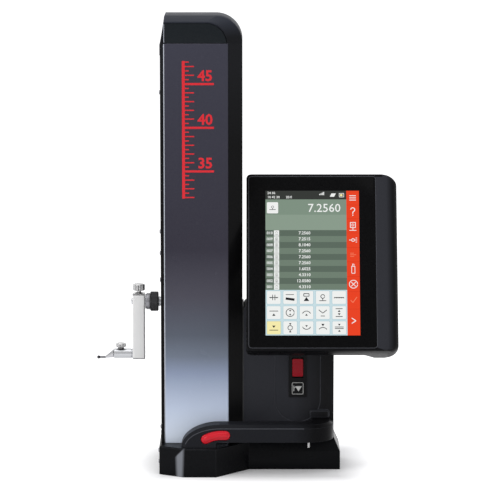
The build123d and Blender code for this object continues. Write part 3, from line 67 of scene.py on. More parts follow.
bodyOf = {node: body for body, members in frame["record"]["behaviour"]["bodies"].items() for node in members}
print("frame loaded:", len(nodes), "nodes")


# Camera: looks along +Y, a little down, from where the photograph was taken
cameraSetup = {"distance": 3.5, "pitch": 8.6, "target": (0.0, 0.0, 0.2528), "sensor": 36.0, "lens": 217.2}


def addCamera(setup):
    pitch = radians(setup["pitch"])
    data = bpy.data.cameras.new("gaugeCamera")
    data.sensor_width = setup["sensor"]
    data.lens = setup["lens"]
    camera = bpy.data.objects.new("gaugeCamera", data)
    camera.location = Vector(setup["target"]) + setup["distance"] * Vector((0, -cos(pitch), sin(pitch)))
    camera.rotation_euler = (pi / 2 - pitch, 0, 0)
    bpy.context.scene.collection.objects.link(camera)
    bpy.context.scene.camera = camera


addCamera(cameraSetup)


def boxOf(name):
    # a node's lowest and highest corners in millimetres
    return [np.array(corner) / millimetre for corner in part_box(name)]


# Shapes. Every surface is a grid of points in millimetres: rows are levels, columns go round.
meshLimits = {"merge": 2e-6, "degenerate": 1e-7, "flat": 0.6, "sharp": 32.0, "pole": 0.05}


def gridPart(grid, capped=True, colour=None):
    # each point joins to its neighbours by quads; the first and last rows are closed by a flat face
    levels, steps = grid.shape[:2]
    i, j = np.meshgrid(np.arange(levels - 1), np.arange(steps), indexing="ij")
    k = (j + 1) % steps
    quads = np.stack([i * steps + j, i * steps + k, (i + 1) * steps + k, (i + 1) * steps + j], axis=-1)
    faces = quads.reshape(-1, 4).tolist()
    if capped:
        faces.append(np.arange(steps)[::-1].tolist())
        faces.append((np.arange(steps) + (levels - 1) * steps).tolist())
    return {"verts": grid.reshape(-1, 3), "faces": faces, "colour": colour}


def openMesh(mesh, merge=True):
    work = bmesh.new()
    work.from_mesh(mesh)
    if merge:
        bmesh.ops.remove_doubles(work, verts=work.verts, dist=meshLimits["merge"])
    return work


def closeMesh(work, mesh, sharp):
    # writes the mesh back, smooth but for the edges over the angle
    work.to_mesh(mesh)
    work.free()
    mesh.polygons.foreach_set("use_smooth", np.ones(len(mesh.polygons), bool))
    mesh.set_sharp_from_angle(angle=radians(sharp))


def readRows(items, key):
    # a vector that every item has, as rows of three
    values = np.empty(len(items) * 3)
    items.foreach_get(key, values)
    return values.reshape(-1, 3)


def partsMesh(name, parts, sharp=meshLimits["sharp"], merge=True):
    # joins parts into one mesh with its faces outwards; colours go to the point attribute "paint"
    verts = np.concatenate([part["verts"] for part in parts]) * millimetre
    starts = np.cumsum([0] + [len(part["verts"]) for part in parts[:-1]]).tolist()
    faces = [
        [index + start for index in face] for part, start in zip(parts, starts) for face in part["faces"]
    ]
    mesh = bpy.data.meshes.new(name)
    mesh.from_pydata(verts.tolist(), [], faces)
    if parts[0]["colour"] is not None:
        colours = np.concatenate([np.broadcast_to(part["colour"], (len(part["verts"]), 4)) for part in parts])
        paint = mesh.attributes.new("paint", "FLOAT_COLOR", "POINT")
        paint.data.foreach_set("color", colours.ravel())
    work = openMesh(mesh, merge)
    if merge:
        bmesh.ops.dissolve_degenerate(work, edges=work.edges, dist=meshLimits["degenerate"])
    bmesh.ops.recalc_face_normals(work, faces=work.faces)
    closeMesh(work, mesh, sharp)
    return mesh


def roundedOutline(corners, radii, inset=0.0, arcSteps=8):
    # each corner is cut back by r * tan(turn / 2) and bridged by an arc; inset moves every side inwards
    corners = np.asarray(corners, float)
    radii = np.broadcast_to(np.asarray(radii, float), (len(corners),)).copy()
    before = corners - np.roll(corners, 1, axis=0)
    after = np.roll(corners, -1, axis=0) - corners
    before /= np.linalg.norm(before, axis=1)[:, None]
    after /= np.linalg.norm(after, axis=1)[:, None]
    cross = before[:, 0] * after[:, 1] - before[:, 1] * after[:, 0]
    turn = np.arctan2(cross, (before * after).sum(1))
    normalIn = np.stack([-before[:, 1] - after[:, 1], before[:, 0] + after[:, 0]], 1)
    normalIn /= (1 + (before * after).sum(1))[:, None]
    moved = corners + inset * normalIn
    radii = np.maximum(radii - inset * np.sign(turn), 0.02)
    begin = moved - before * (radii * np.abs(np.tan(turn / 2)))[:, None]
    side = np.stack([-before[:, 1], before[:, 0]], 1) * np.sign(turn)[:, None]
    arm = -side * radii[:, None]
    centre = begin - arm
    angle = turn[:, None] * np.linspace(0, 1, arcSteps)[None, :]
    c, s = np.cos(angle), np.sin(angle)
    x = centre[:, 0:1] + arm[:, 0:1] * c - arm[:, 1:2] * s
    y = centre[:, 1:2] + arm[:, 0:1] * s + arm[:, 1:2] * c
    return np.stack([x, y], -1).reshape(-1, 2)


def edgeLevels(low, high, roundLow, roundHigh, steps=5):
    # (inset, height) pairs: a quarter circle at the bottom edge and another at the top edge
    t = np.linspace(0, pi / 2, steps)
    lower = np.stack([roundLow * (1 - np.sin(t)), low + roundLow * (1 - np.cos(t))], 1)
    upper = np.stack([roundHigh * (1 - np.cos(t)), high - roundHigh * (1 - np.sin(t))], 1)
    return np.concatenate([lower, upper])


def prismGrid(a0, a1, b0, b1, radius, levels, place, arcSteps=8):
    # a rounded rectangle at each level's inset, put in space by place(a, b, height)
    rows = []
    for inset, height in levels:
        flat = roundedOutline([(a0, b0), (a1, b0), (a1, b1), (a0, b1)], radius, inset, arcSteps)
        rows.append(place(flat[:, 0], flat[:, 1], np.full(len(flat), height)))
    return np.stack(rows)


def tilePart(a0, a1, b0, b1, radius=0.3, edge=0.0, arcSteps=4, *, place, low, high, colour=None):
    # rounded rectangle as a thin plate
    levels = edgeLevels(low, high, 0.0, edge, 4) if edge else [(0.0, low), (0.0, high)]
    return gridPart(prismGrid(a0, a1, b0, b1, radius, levels, place, arcSteps), colour=colour)


def framePart(a0, a1, b0, b1, width, radius=0.5, *, place, low, high, colour=None):
    # rounded rectangular ring: outer wall, top, inner wall and underside
    levels = [(0.0, low), (0.0, high), (width, high), (width, low), (0.0, low)]
    return gridPart(prismGrid(a0, a1, b0, b1, radius, levels, place, 5), False, colour)


def shapePart(points, *, place, low, high, colour=None):
    # flat shape of any outline as a thin plate
    flat = np.asarray(points, float)
    rows = [place(flat[:, 0], flat[:, 1], np.full(len(flat), level)) for level in (low, high)]
    return gridPart(np.stack(rows), colour=colour)


def wedgePart(x, y, size, sense, **fixed):
    # triangle that stands on x, y and points up or down
    return shapePart([(x - size, y), (x + size, y), (x, y + sense * size * 1.5)], **fixed)


def strokePart(x0, y0, x1, y1, width=0.8, **fixed):
    # straight stroke of even width between two points
    start, end = np.array([x0, y0], float), np.array([x1, y1], float)
    along = (end - start) / np.linalg.norm(end - start)
    side = np.array([-along[1], along[0]]) * width / 2
    return shapePart([start - side, end - side, end + side, start + side], **fixed)


def arcPart(x, y, radius, width, fromDegrees, toDegrees, steps=20, **fixed):
    # arc of even width: an inner and an outer curve joined into one outline
    t = np.radians(np.linspace(fromDegrees, toDegrees, steps))
    direction = np.stack([np.cos(t), np.sin(t)], 1)
    outer, inner = (np.array([x, y]) + direction * (radius + half) for half in (width / 2, -width / 2))
    return shapePart(np.concatenate([outer, inner[::-1]]), **fixed)


def textPart(words, size, x, y, bold=0.0, align="CENTER", *, place, low, high, colour=None):
    # plain figures as thin plates, from the built-in font
    curve = bpy.data.curves.new("figures", "FONT")
    curve.body = words
    curve.size = size
    curve.offset = bold
    curve.extrude = (high - low) / 2
    curve.resolution_u = 2
    curve.align_x = align
    curve.align_y = "CENTER"
    holder = bpy.data.objects.new("figures", curve)
    mesh = bpy.data.meshes.new_from_object(holder)
    coords = readRows(mesh.vertices, "co")
    faces = [list(polygon.vertices) for polygon in mesh.polygons]
    verts = place(coords[:, 0] + x, coords[:, 1] + y, coords[:, 2] + (low + high) / 2)
    bpy.data.objects.remove(holder)
    bpy.data.curves.remove(curve)
    bpy.data.meshes.remove(mesh)
    return {"verts": verts, "faces": faces, "colour": colour}


flatShapes = {
    "tile": tilePart, "frame": framePart, "shape": shapePart, "wedge": wedgePart, "stroke": strokePart,
    "arc": arcPart, "text": textPart,
}


def pen(place, low, high, colour=None):
    # the flat shapes, all on one plane, between two levels and in one colour
    fixed = {"place": place, "low": low, "high": high, "colour": colour}
    return SimpleNamespace(**{name: partial(part, **fixed) for name, part in flatShapes.items()})


def upright(a, b, h):
    return np.stack([a, b, h], -1)


def facingFront(a, b, h):
    # a across, b up, h out towards the operator
    return np.stack([a, -h, b], -1)


def alongX(a, b, h):
    # a is y, b is z, h is x
    return np.stack([h, a, b], -1)


# Turned pieces lie about a line along X, Y or Z through the given point
def aboutX(z, y=0.0, start=0.0):
    return lambda a, b, h: np.stack([h + start, a + y, b + z], -1)


def aboutY(x, z, start):
    return lambda a, b, h: np.stack([a + x, h + start, b + z], -1)


def aboutZ(x, y):
    return lambda a, b, h: np.stack([a + x, b + y, h], -1)


def turnedGrid(profile, steps, place, wobble=None):
    # profile rows are (radius, way along the axis); the point at angle t is radius * (cos t, sin t)
    profile = np.asarray(profile, float)
    t = np.linspace(0, 2 * pi, steps, endpoint=False)
    radius, along = (profile[:, k:k + 1] * np.ones_like(t)[None, :] for k in (0, 1))
    if wobble is not None:
        radius = radius + wobble(radius, along, t[None, :])
    return place(radius * np.cos(t), radius * np.sin(t), along)


def rodPart(radius, start, stop, steps, place):
    # plain round bar
    pole = meshLimits["pole"]
    return gridPart(turnedGrid([(pole, start), (radius, start), (radius, stop), (pole, stop)], steps, place))


def addPiece(name, mesh, finish, like, replaced=()):
    # rides as the node named by like does
    piece = bpy.data.objects.new(name, mesh)
    bpy.context.scene.collection.objects.link(piece)
    if not mesh.materials:
        mesh.materials.append(materials[finish])
    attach(piece, bodyOf[like])
    if replaced:
        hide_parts(*replaced)
    return piece


def addParts(name, parts, finish, like, replaced=(), **meshing):
    return addPiece(name, partsMesh(name, parts, **meshing), finish, like, replaced)


def softCopy(name, node, finish, width, segments, edgeHighlight=None, angle=40.0):
    # the solid's own mesh, merged and with its flat faces joined; a bevel rounds its edges and may
    # give them a paler finish as a painted highlight along the edges
    mesh = nodes[node].data.copy()
    mesh.materials.clear()
    work = openMesh(mesh)
    flat = radians(meshLimits["flat"])
    bmesh.ops.dissolve_limit(work, angle_limit=flat, verts=work.verts, edges=work.edges)
    closeMesh(work, mesh, angle)
    piece = addPiece(name, mesh, finish, node, (node,))
    bevel = piece.modifiers.new("edge", "BEVEL")
    bevel.width = width * millimetre
    bevel.segments = segments
    bevel.limit_method = "ANGLE"
    bevel.angle_limit = radians(angle)
    bevel.harden_normals = True
    if edgeHighlight:
        piece.data.materials.append(materials[edgeHighlight])
        bevel.material = 1
    return piece


# Shader groups: they put out colours, masks and heights, and the Principled shader stays in the material


def feed(tree, socket, value):
    # links a node's output to the socket, or sets a plain value on it
    if hasattr(value, "links"):
        tree.links.new(value, socket)
    else:
        socket.default_value = value


def addNode(tree, kind, **settings):
    node = tree.nodes.new("ShaderNode" + kind)
    for key, value in settings.items():
        setattr(node, key, value)
    return node


def newGroup(name, inputs, outputs):
    # the size of a value tells its kind of socket: 1 a number, 3 a vector, 4 a colour
    kinds = {1: "NodeSocketFloat", 3: "NodeSocketVector", 4: "NodeSocketColor"}
    tree = bpy.data.node_groups.new(name, "ShaderNodeTree")
    for label, value in inputs.items():
        kind = kinds[np.size(value)]
        tree.interface.new_socket(name=label, in_out="INPUT", socket_type=kind).default_value = value
    for label, size in outputs.items():
        tree.interface.new_socket(name=label, in_out="OUTPUT", socket_type=kinds[size])
    return tree, tree.nodes.new("NodeGroupInput").outputs, tree.nodes.new("NodeGroupOutput").inputs


def mathNode(tree, operation, *values, clamp=False):
    node = addNode(tree, "Math", operation=operation, use_clamp=clamp)
    for socket, value in zip(node.inputs, values):
        feed(tree, socket, value)
    return node.outputs[0]


def mixColour(tree, factor, first, second):
    node = addNode(tree, "Mix", data_type="RGBA")
    for index, value in ((0, factor), (6, first), (7, second)):
        feed(tree, node.inputs[index], value)
    return node.outputs[2]


def noiseNode(tree, vector, scale, detail=2.0):
    node = addNode(tree, "TexNoise")
    for label, value in (("Vector", vector), ("Scale", scale), ("Detail", detail)):
        feed(tree, node.inputs[label], value)
    return node.outputs["Fac"]


def rangeNode(tree, value, low, high, outLow=0.0, outHigh=1.0):
    node = addNode(tree, "MapRange")
    for socket, number in zip(node.inputs[:5], (value, low, high, outLow, outHigh)):
        feed(tree, socket, number)
    return node.outputs[0]


def objectCoords(tree):
    return addNode(tree, "TexCoord").outputs["Object"]


def axesOf(tree):
    # the X, Y and Z of a point of the gauge, in metres
    split = addNode(tree, "SeparateXYZ")
    tree.links.new(objectCoords(tree), split.inputs[0])
    return split.outputs


black, white = (0, 0, 0, 1), (1, 1, 1, 1)


def makeGrainGroup():
    # fine moulded or painted grain: a small noise for height, a broad one for colour and roughness drift
    tree, given, result = newGroup(
        "surfaceGrain",
        {"Color": (0.5, 0.5, 0.5, 1), "Drift": 0.1, "Grain Scale": 900.0, "Roughness": 0.4,
         "Roughness Spread": 0.08, "Stretch": (1.0, 1.0, 1.0)},
        {"Color": 4, "Roughness": 1, "Height": 1},
    )
    coords, colour, drift = objectCoords(tree), given["Color"], given["Drift"]
    stretched = addNode(tree, "VectorMath", operation="MULTIPLY")
    feed(tree, stretched.inputs[0], coords)
    feed(tree, stretched.inputs[1], given["Stretch"])
    fine = noiseNode(tree, stretched.outputs[0], given["Grain Scale"], 3.0)
    broad, smudge = noiseNode(tree, coords, 14.0), noiseNode(tree, coords, 55.0, 4.0)
    amount = mathNode(tree, "MULTIPLY", rangeNode(tree, broad, 0.3, 0.7), drift)
    drifted = mixColour(tree, amount, colour, mixColour(tree, 0.35, colour, black))
    speck = mathNode(tree, "MULTIPLY", rangeNode(tree, fine, 0.35, 0.75), drift)
    feed(tree, result["Color"], mixColour(tree, speck, drifted, mixColour(tree, 0.12, colour, white)))
    swing = mathNode(tree, "MULTIPLY", mathNode(tree, "SUBTRACT", smudge, 0.5), given["Roughness Spread"])
    swing = mathNode(tree, "MULTIPLY", swing, 2.0)
    feed(tree, result["Roughness"], mathNode(tree, "ADD", given["Roughness"], swing, clamp=True))
    feed(tree, result["Height"], fine)
    return tree


def makeEdgeGroup():
    # edge mask for wear and a painted highlight: how far the rounded normal leaves the true one, broken up by
    # a noise
    tree, given, result = newGroup(
        "edgeWear",
        {"Color": (0.5, 0.5, 0.5, 1), "Edge Color": (0.7, 0.7, 0.7, 1), "Amount": 0.3, "Round": 0.0006},
        {"Color": 4, "Mask": 1, "Normal": 3},
    )
    bevel = addNode(tree, "Bevel", samples=4)
    feed(tree, bevel.inputs["Radius"], given["Round"])
    dot = addNode(tree, "VectorMath", operation="DOT_PRODUCT")
    feed(tree, dot.inputs[0], bevel.outputs["Normal"])
    feed(tree, dot.inputs[1], addNode(tree, "NewGeometry").outputs["Normal"])
    broken = rangeNode(tree, noiseNode(tree, objectCoords(tree), 160.0, 3.0), 0.35, 0.65, 0.3)
    away = rangeNode(tree, dot.outputs["Value"], 0.995, 0.90)
    mask = mathNode(tree, "MULTIPLY", mathNode(tree, "MULTIPLY", away, broken), given["Amount"], clamp=True)
    feed(tree, result["Color"], mixColour(tree, mask, given["Color"], given["Edge Color"]))
    feed(tree, result["Mask"], mask)
    feed(tree, result["Normal"], bevel.outputs["Normal"])
    return tree


grainGroup = makeGrainGroup()
edgeGroup = makeEdgeGroup()


def linear(colour):
    # an sRGB colour of 0 to 255 as linear light
    values = np.array(colour) / 255.0
    values = np.where(values <= 0.04045, values / 12.92, ((values + 0.055) / 1.055) ** 2.4)
    return (*values.tolist(), 1.0)


def startMaterial(name):
    material = bpy.data.materials.new(name)
    material.use_nodes = True
    tree = material.node_tree
    return material, tree, tree.nodes["Principled BSDF"]


def useGroup(tree, group, values):
    node = addNode(tree, "Group", node_tree=group)
    for label, value in values.items():
        feed(tree, node.inputs[label], value)
    return node.outputs


usualLook = {
    "drift": 0.2, "grainScale": 1200.0, "spread": 0.06, "stretch": (1.0, 1.0, 1.0), "edge": (120, 120, 124),
    "wear": 0.15, "round": 0.0006, "bump": 0.15, "depth": 0.0002, "metal": 0.0, "coat": 0.0,
    "coatRough": 0.05, "specular": 0.5,
}


def finishSurface(tree, shader, colour, look):
    # grain sets the colour drift, roughness and bump; edge wear with a painted highlight lightens and rounds
    # the edges
    look = {**usualLook, **look}
    grain = useGroup(tree, grainGroup, {
        "Color": colour, "Drift": look["drift"], "Grain Scale": look["grainScale"],
        "Roughness": look["rough"], "Roughness Spread": look["spread"], "Stretch": look["stretch"],
    })
    wear = useGroup(tree, edgeGroup, {
        "Color": grain["Color"], "Edge Color": linear(look["edge"]), "Amount": look["wear"],
        "Round": look["round"],
    })
    bump = addNode(tree, "Bump")
    for label, value in (("Strength", look["bump"]), ("Distance", look["depth"]), ("Height", grain["Height"]),
                         ("Normal", wear["Normal"])):
        feed(tree, bump.inputs[label], value)
    for label, value in (("Base Color", wear["Color"]), ("Roughness", grain["Roughness"]),
                         ("Normal", bump.outputs["Normal"]), ("Metallic", look["metal"]),
                         ("Coat Weight", look["coat"]), ("Coat Roughness", look["coatRough"]),
                         ("Specular IOR Level", look["specular"])):
        feed(tree, shader.inputs[label], value)


def paintMaterial(name, look):
    # colour from the mesh's own paint
    material, tree, shader = startMaterial(name)
    finishSurface(tree, shader, addNode(tree, "Attribute", attribute_name="paint").outputs["Color"], look)
    return material


def coatedMaterial(name, look):
    # one colour, or two that change over along an axis of the gauge as painted light and shade
    material, tree, shader = startMaterial(name)
    colour = linear(look["colour"])
    if "drifts" in look:
        axis, low, high, other = look["drifts"]
        colour = mixColour(tree, rangeNode(tree, axesOf(tree)[axis], low, high), colour, linear(other))
    finishSurface(tree, shader, colour, look)
    return material


finishes = {
    "castBlack": dict(
        colour=(9, 10, 13), rough=0.28, specular=0.05, grainScale=1300.0, bump=0.12, drift=0.03, wear=0.3,
        round=0.0012, edge=(84, 86, 92)),
    # the handle darkens towards its right end, where it turns away: painted shade
    "handleBlack": dict(
        colour=(28, 29, 33), rough=0.32, specular=0.03, grainScale=1600.0, bump=0.2, drift=0.06,
        drifts=("X", 0.05, 0.074, (8, 8, 10)), wear=0.4, round=0.0009, edge=(84, 85, 90)),
    # the housing darkens towards its right side: painted shade
    "housingGrey": dict(
        colour=(42, 43, 48), rough=0.5, specular=0.08, grainScale=1800.0, bump=0.3, drift=0.06, wear=0.25,
        edge=(80, 80, 84), drifts=("X", 0.05, 0.086, (12, 12, 14))),
    "displayBlack": dict(
        colour=(10, 10, 12), rough=0.28, specular=0.03, drift=0.04, grainScale=2000.0, bump=0.1, wear=0.45,
        edge=(84, 84, 90)),
    # the grip darkens on its right rounded side: painted shade
    "gripGrey": dict(
        colour=(44, 45, 50), rough=0.5, specular=0.03, grainScale=2400.0, bump=0.35, wear=0.05, drift=0.08,
        drifts=("X", 0.157, 0.165, (6, 6, 8))),
    # the rear cover, strips and stops pale towards the top: painted light from above
    "coverBlack": dict(
        colour=(9, 9, 10), rough=0.3, specular=0.05, drift=0.04, grainScale=1500.0, bump=0.1, wear=0.2,
        edge=(90, 90, 96), drifts=("Z", 0.38, 0.47, (24, 25, 28))),
    # the cap pales to slate towards its top: painted light from above
    "capSlate": dict(
        colour=(22, 23, 26), rough=0.42, specular=0.04, drift=0.05, grainScale=1500.0, bump=0.15, wear=0.3,
        edge=(96, 98, 106), drifts=("Z", 0.503, 0.521, (42, 45, 53))),
    "pianoBlack": dict(colour=(20, 25, 29), rough=0.14, specular=0.08, drift=0.05, bump=0.02),
    "screenBlack": dict(
        colour=(3, 3, 4), rough=0.08, specular=0.03, bump=0.01, wear=0.6, edge=(110, 110, 116), drift=0.05),
    "signalRed": dict(
        colour=(204, 6, 32), rough=0.11, specular=0.22, bump=0.05, wear=0.12, edge=(235, 90, 95), drift=0.1),
    "rockerRed": dict(
        colour=(150, 5, 26), rough=0.22, specular=0.1, bump=0.1, wear=0.2, edge=(200, 60, 70), drift=0.1),
    "controlBlack": dict(colour=(10, 10, 12), rough=0.25, specular=0.06, drift=0.04, bump=0.1, wear=0.2),
    "markWhite": dict(colour=(196, 196, 193), rough=0.5, bump=0.05, wear=0.0, drift=0.15),
    "gradeRed": dict(colour=(214, 26, 40), rough=0.4, specular=0.25, bump=0.05, wear=0.0, drift=0.15),
    "oxideBlack": dict(
        colour=(62, 62, 66), rough=0.28, metal=1.0, bump=0.1, wear=0.5, edge=(190, 190, 192), round=0.0002),
    "satinGrey": dict(
        colour=(226, 226, 225), rough=0.42, metal=0.1, grainScale=1500.0, bump=0.12, wear=0.3,
        edge=(235, 235, 238), stretch=(1.0, 1.0, 0.06)),
    "turnedSteel": dict(
        colour=(176, 177, 180), rough=0.24, metal=1.0, grainScale=2200.0, bump=0.08, wear=0.2,
        edge=(240, 240, 242), round=0.0002, stretch=(1.0, 0.08, 0.08)),
    "knobSteel": dict(
        colour=(206, 206, 206), rough=0.2, metal=1.0, grainScale=2600.0, bump=0.05, wear=0.2,
        edge=(245, 245, 246), round=0.0002),
    "stylusSteel": dict(colour=(172, 172, 175), rough=0.25, metal=1.0, bump=0.05, wear=0.0),
    "rodSteel": dict(colour=(92, 92, 95), rough=0.25, metal=1.0, bump=0.05, wear=0.0),
    "screwSteel": dict(colour=(134, 134, 138), rough=0.3, metal=1.0, bump=0.1, wear=0.3, round=0.0002),
    "carbide": dict(colour=(52, 52, 55), rough=0.12, metal=1.0, bump=0.02, wear=0.0),
    "rawAluminium": dict(colour=(180, 182, 186), rough=0.36, metal=1.0, grainScale=1400.0, wear=0.2),
    "trimAluminium": dict(
        colour=(184, 188, 198), rough=0.3, metal=0.6, grainScale=1800.0, bump=0.05, wear=0.1,
        stretch=(1.0, 1.0, 0.05)),
    "greyCasting": dict(colour=(90, 90, 92), rough=0.6, metal=0.6, grainScale=700.0, bump=0.5),
    "beltRubber": dict(colour=(22, 22, 22), rough=0.7, bump=0.3),
    "brassPlain": dict(colour=(190, 150, 80), rough=0.28, metal=1.0, bump=0.1, wear=0.2),
    "boardGreen": dict(colour=(20, 80, 48), rough=0.4, bump=0.2, drift=0.5),
    # edge finishes: paler than the bodies they edge, as painted highlights along bevels and lines
    "edgeDark": dict(colour=(32, 33, 38), rough=0.32, specular=0.08, bump=0.1, wear=0.0),
    "edgeMid": dict(colour=(54, 56, 62), rough=0.4, specular=0.1, bump=0.1, wear=0.0),
    "edgePale": dict(colour=(74, 76, 82), rough=0.36, specular=0.15, bump=0.1, wear=0.0),
    "lineGlass": dict(colour=(170, 185, 185), rough=0.08, bump=0.02, coat=0.5),
}
materials = {name: coatedMaterial(name, look) for name, look in finishes.items()}


# Knurled and fluted steel: pale on the crests and dark in the grooves, the dark being painted shade
grooveShadeLooks = {
    "knurledSteel": dict(
        crest=(88, 88, 90), groove=(3, 3, 4), rough=0.3, metal=0.9, bump=0.05, wear=0.0, drift=0.05),
    "flutedSteel": dict(
        crest=(204, 204, 204), groove=(50, 48, 48), rough=0.22, metal=0.9, bump=0.05, wear=0.0, drift=0.05),
}
materials.update({name: paintMaterial(name, look) for name, look in grooveShadeLooks.items()})


def grooveColours(finish, depth):
    # one colour for each point of a grid: crest at no depth, painted shade of the groove at full depth
    crest, groove = (np.array(linear(grooveShadeLooks[finish][key])) for key in ("crest", "groove"))
    return (crest + (groove - crest) * np.clip(depth, 0, 1)[..., None]).reshape(-1, 4)


# Base casting: the same black, with a painted highlight where its left front corner is rounded
cornerHighlightLook = {
    "centre": -0.0808, "narrow": 0.0034, "wide": 0.0046, "rim": (-0.0016, 0.0018), "front": (-0.05, -0.055),
    "top": 0.034, "fade": (0.0005, -0.0015), "slant": 1.1, "slantFrom": 0.076, "colour": (122, 125, 131),
}


def castingMaterial(corner):
    # the painted highlight's mask is one where |x - centre| is under a width that grows with height,
    # on the front side and below a slanting line, and fades at its rim
    look = finishes["castBlack"]
    material, tree, shader = startMaterial("castBlackWorn")
    x, y, z = axesOf(tree)
    away = mathNode(tree, "ABSOLUTE", mathNode(tree, "SUBTRACT", x, corner["centre"]))
    width = rangeNode(tree, z, 0.0, corner["top"], corner["narrow"], corner["wide"])
    inside = rangeNode(tree, mathNode(tree, "SUBTRACT", width, away), *corner["rim"])
    front = rangeNode(tree, y, *corner["front"])
    lean = mathNode(tree, "MULTIPLY", mathNode(tree, "ADD", x, corner["slantFrom"]), corner["slant"])
    level = mathNode(tree, "SUBTRACT", z, lean)
    below = rangeNode(tree, level, *(corner["top"] + fade for fade in corner["fade"]))
    mask = mathNode(tree, "MULTIPLY", mathNode(tree, "MULTIPLY", inside, front), below)
    colour = mixColour(tree, mask, linear(look["colour"]), linear(corner["colour"]))
    finishSurface(tree, shader, colour, look)
    return material


materials["castBlackWorn"] = castingMaterial(cornerHighlightLook)


# Side panel lacquer in blue grey: slate above, paling to a light blue grey near the foot; the change with
# height is a painted reflection
panelLook = dict(
    stops=[
        (0.040, (222, 232, 246)), (0.075, (192, 204, 224)), (0.115, (140, 152, 176)),
        (0.135, (110, 119, 134)), (0.160, (86, 92, 104)), (0.205, (72, 71, 82)), (0.26, (45, 43, 55)),
        (0.49, (54, 54, 66)),
    ],
    top=0.5, rough=0.26, specular=0.12, drift=0.1, grainScale=1800.0, spread=0.04, bump=0.04, depth=0.0001,
    wear=0.25, edge=(200, 200, 205),
)


def panelMaterial(look):
    # colour by height through a ramp, a painted reflection, with the shared grain over it
    material, tree, shader = startMaterial("panelLacquer")
    ramp = addNode(tree, "ValToRGB")
    elements = ramp.color_ramp.elements
    while len(elements) < len(look["stops"]):
        elements.new(0.5)
    for element, (height, colour) in zip(elements, look["stops"]):
        element.position = height / look["top"]
        element.color = linear(colour)
    feed(tree, ramp.inputs[0], rangeNode(tree, axesOf(tree)["Z"], 0.0, look["top"]))
    finishSurface(tree, shader, ramp.outputs["Color"], look)
    return material


materials["panelLacquer"] = panelMaterial(panelLook)


# Lit screen: the picture's own colours glow, with a faint pixel grid over them
screenGlow = {
    "strength": 0.86, "pixel": 3800.0, "ripple": 0.06, "dull": 0.9, "smudge": 60.0, "rough": (0.08, 0.14),
    "specular": 0.1,
}


def screenMaterial(look):
    material, tree, shader = startMaterial("screenLit")
    paint = addNode(tree, "Attribute", attribute_name="paint").outputs["Color"]
    coords = objectCoords(tree)
    ripple = rangeNode(tree, noiseNode(tree, coords, look["pixel"], 1.0), 0.3, 0.7, 0.0, look["ripple"])
    smudge = rangeNode(tree, noiseNode(tree, coords, look["smudge"]), 0.3, 0.7, *look["rough"])
    for label, value in (("Emission Color", mixColour(tree, ripple, paint, black)), ("Roughness", smudge),
                         ("Base Color", mixColour(tree, look["dull"], paint, black)),
                         ("Emission Strength", look["strength"]), ("Specular IOR Level", look["specular"])):
        feed(tree, shader.inputs[label], value)
    return material


materials["screenLit"] = screenMaterial(screenGlow)

nodeFinish = {
    "castBlack": ["base_casting"],
    "handleBlack": ["handle_shell", "handle_plate"],
    "housingGrey": ["housing_front", "housing_back"],
    "displayBlack": ["display_shell"],
    "panelLacquer": ["side_panel_front", "side_panel_back"],
    "pianoBlack": ["cap_inserts"],
    "capSlate": ["top_cap"],
    "coverBlack": ["rear_cover", "front_strips", "end_stops"],
    "screenBlack": ["display_glass", "lcd_panel"],
    "signalRed": ["air_button", "jog_lever"],
    "controlBlack": ["jog_plate", "jog_tiles", "battery_pack", "scale_reader"],
    "satinGrey": ["probe_arm", "spindle_collar"],
    "oxideBlack": ["clamp_ring"],
    "turnedSteel": [
        "probe_spindle", "insert_sleeve", "stylus", "arm_thumbscrew", "insert_thumbscrew", "guide_rail",
        "bearing_blocks", "drive_shaft", "pulley_axle", "tilt_pin", "probe_ball",
    ],
    "screwSteel": [
        "rail_screws", "carriage_screws", "column_bolts", "cover_screws", "housing_screws", "display_screws",
        "drive_motor", "air_pump",
    ],
    "rawAluminium": [
        "column_profile", "carriage_plate", "top_pulley", "drive_pulley", "motor_bracket", "tilt_bracket",
        "tilt_arm", "display_frame", "carriage_clamp", "weight_clamp",
    ],
    "greyCasting": ["counterweight"],
    "beltRubber": ["drive_belt"],
    "brassPlain": ["air_jets", "air_valve"],
    "boardGreen": ["control_board", "display_board"],
    "lineGlass": ["glass_scale"],
}
for finish, names in nodeFinish.items():
    for name in names:
        nodes[name].data.materials.clear()
        nodes[name].data.materials.append(materials[finish])
print("finishes:", len(materials))


# Castings, shells and covers keep their solid's shape with rounded edges:
# node, finish, edge width in millimetres, segments and the finish of the painted edge highlight
softEdges = {
    "baseCasting": ("base_casting", "castBlackWorn", 1.3, 3, "edgeDark"),
    "handleBar": ("handle_shell", "handleBlack", 0.4, 3, "edgeMid"),
    "housingFront": ("housing_front", "housingGrey", 0.4, 2, "edgeMid"),
    "housingBack": ("housing_back", "housingGrey", 0.5, 2),
    "topCap": ("top_cap", "capSlate", 0.6, 3),
    "rearCover": ("rear_cover", "coverBlack", 0.5, 2),
    "frontStrips": ("front_strips", "coverBlack", 0.25, 2),
    "panelFront": ("side_panel_front", "panelLacquer", 0.3, 2),
    "panelBack": ("side_panel_back", "panelLacquer", 0.3, 2),
    "tiltBracket": ("tilt_bracket", "rawAluminium", 0.4, 2),
    "tiltArm": ("tilt_arm", "rawAluminium", 0.4, 2),
    "controlPlate": ("jog_plate", "controlBlack", 0.3, 2),
}
for name, values in softEdges.items():
    softCopy(name, *values)
print("soft copies:", len(softEdges))


# Glossy insert in the cap, on both sides, with a fine groove round it
insertShape = {"thick": 1.8, "groove": 0.45, "edge": 0.5, "arc": 24.7, "arcSteps": 32}


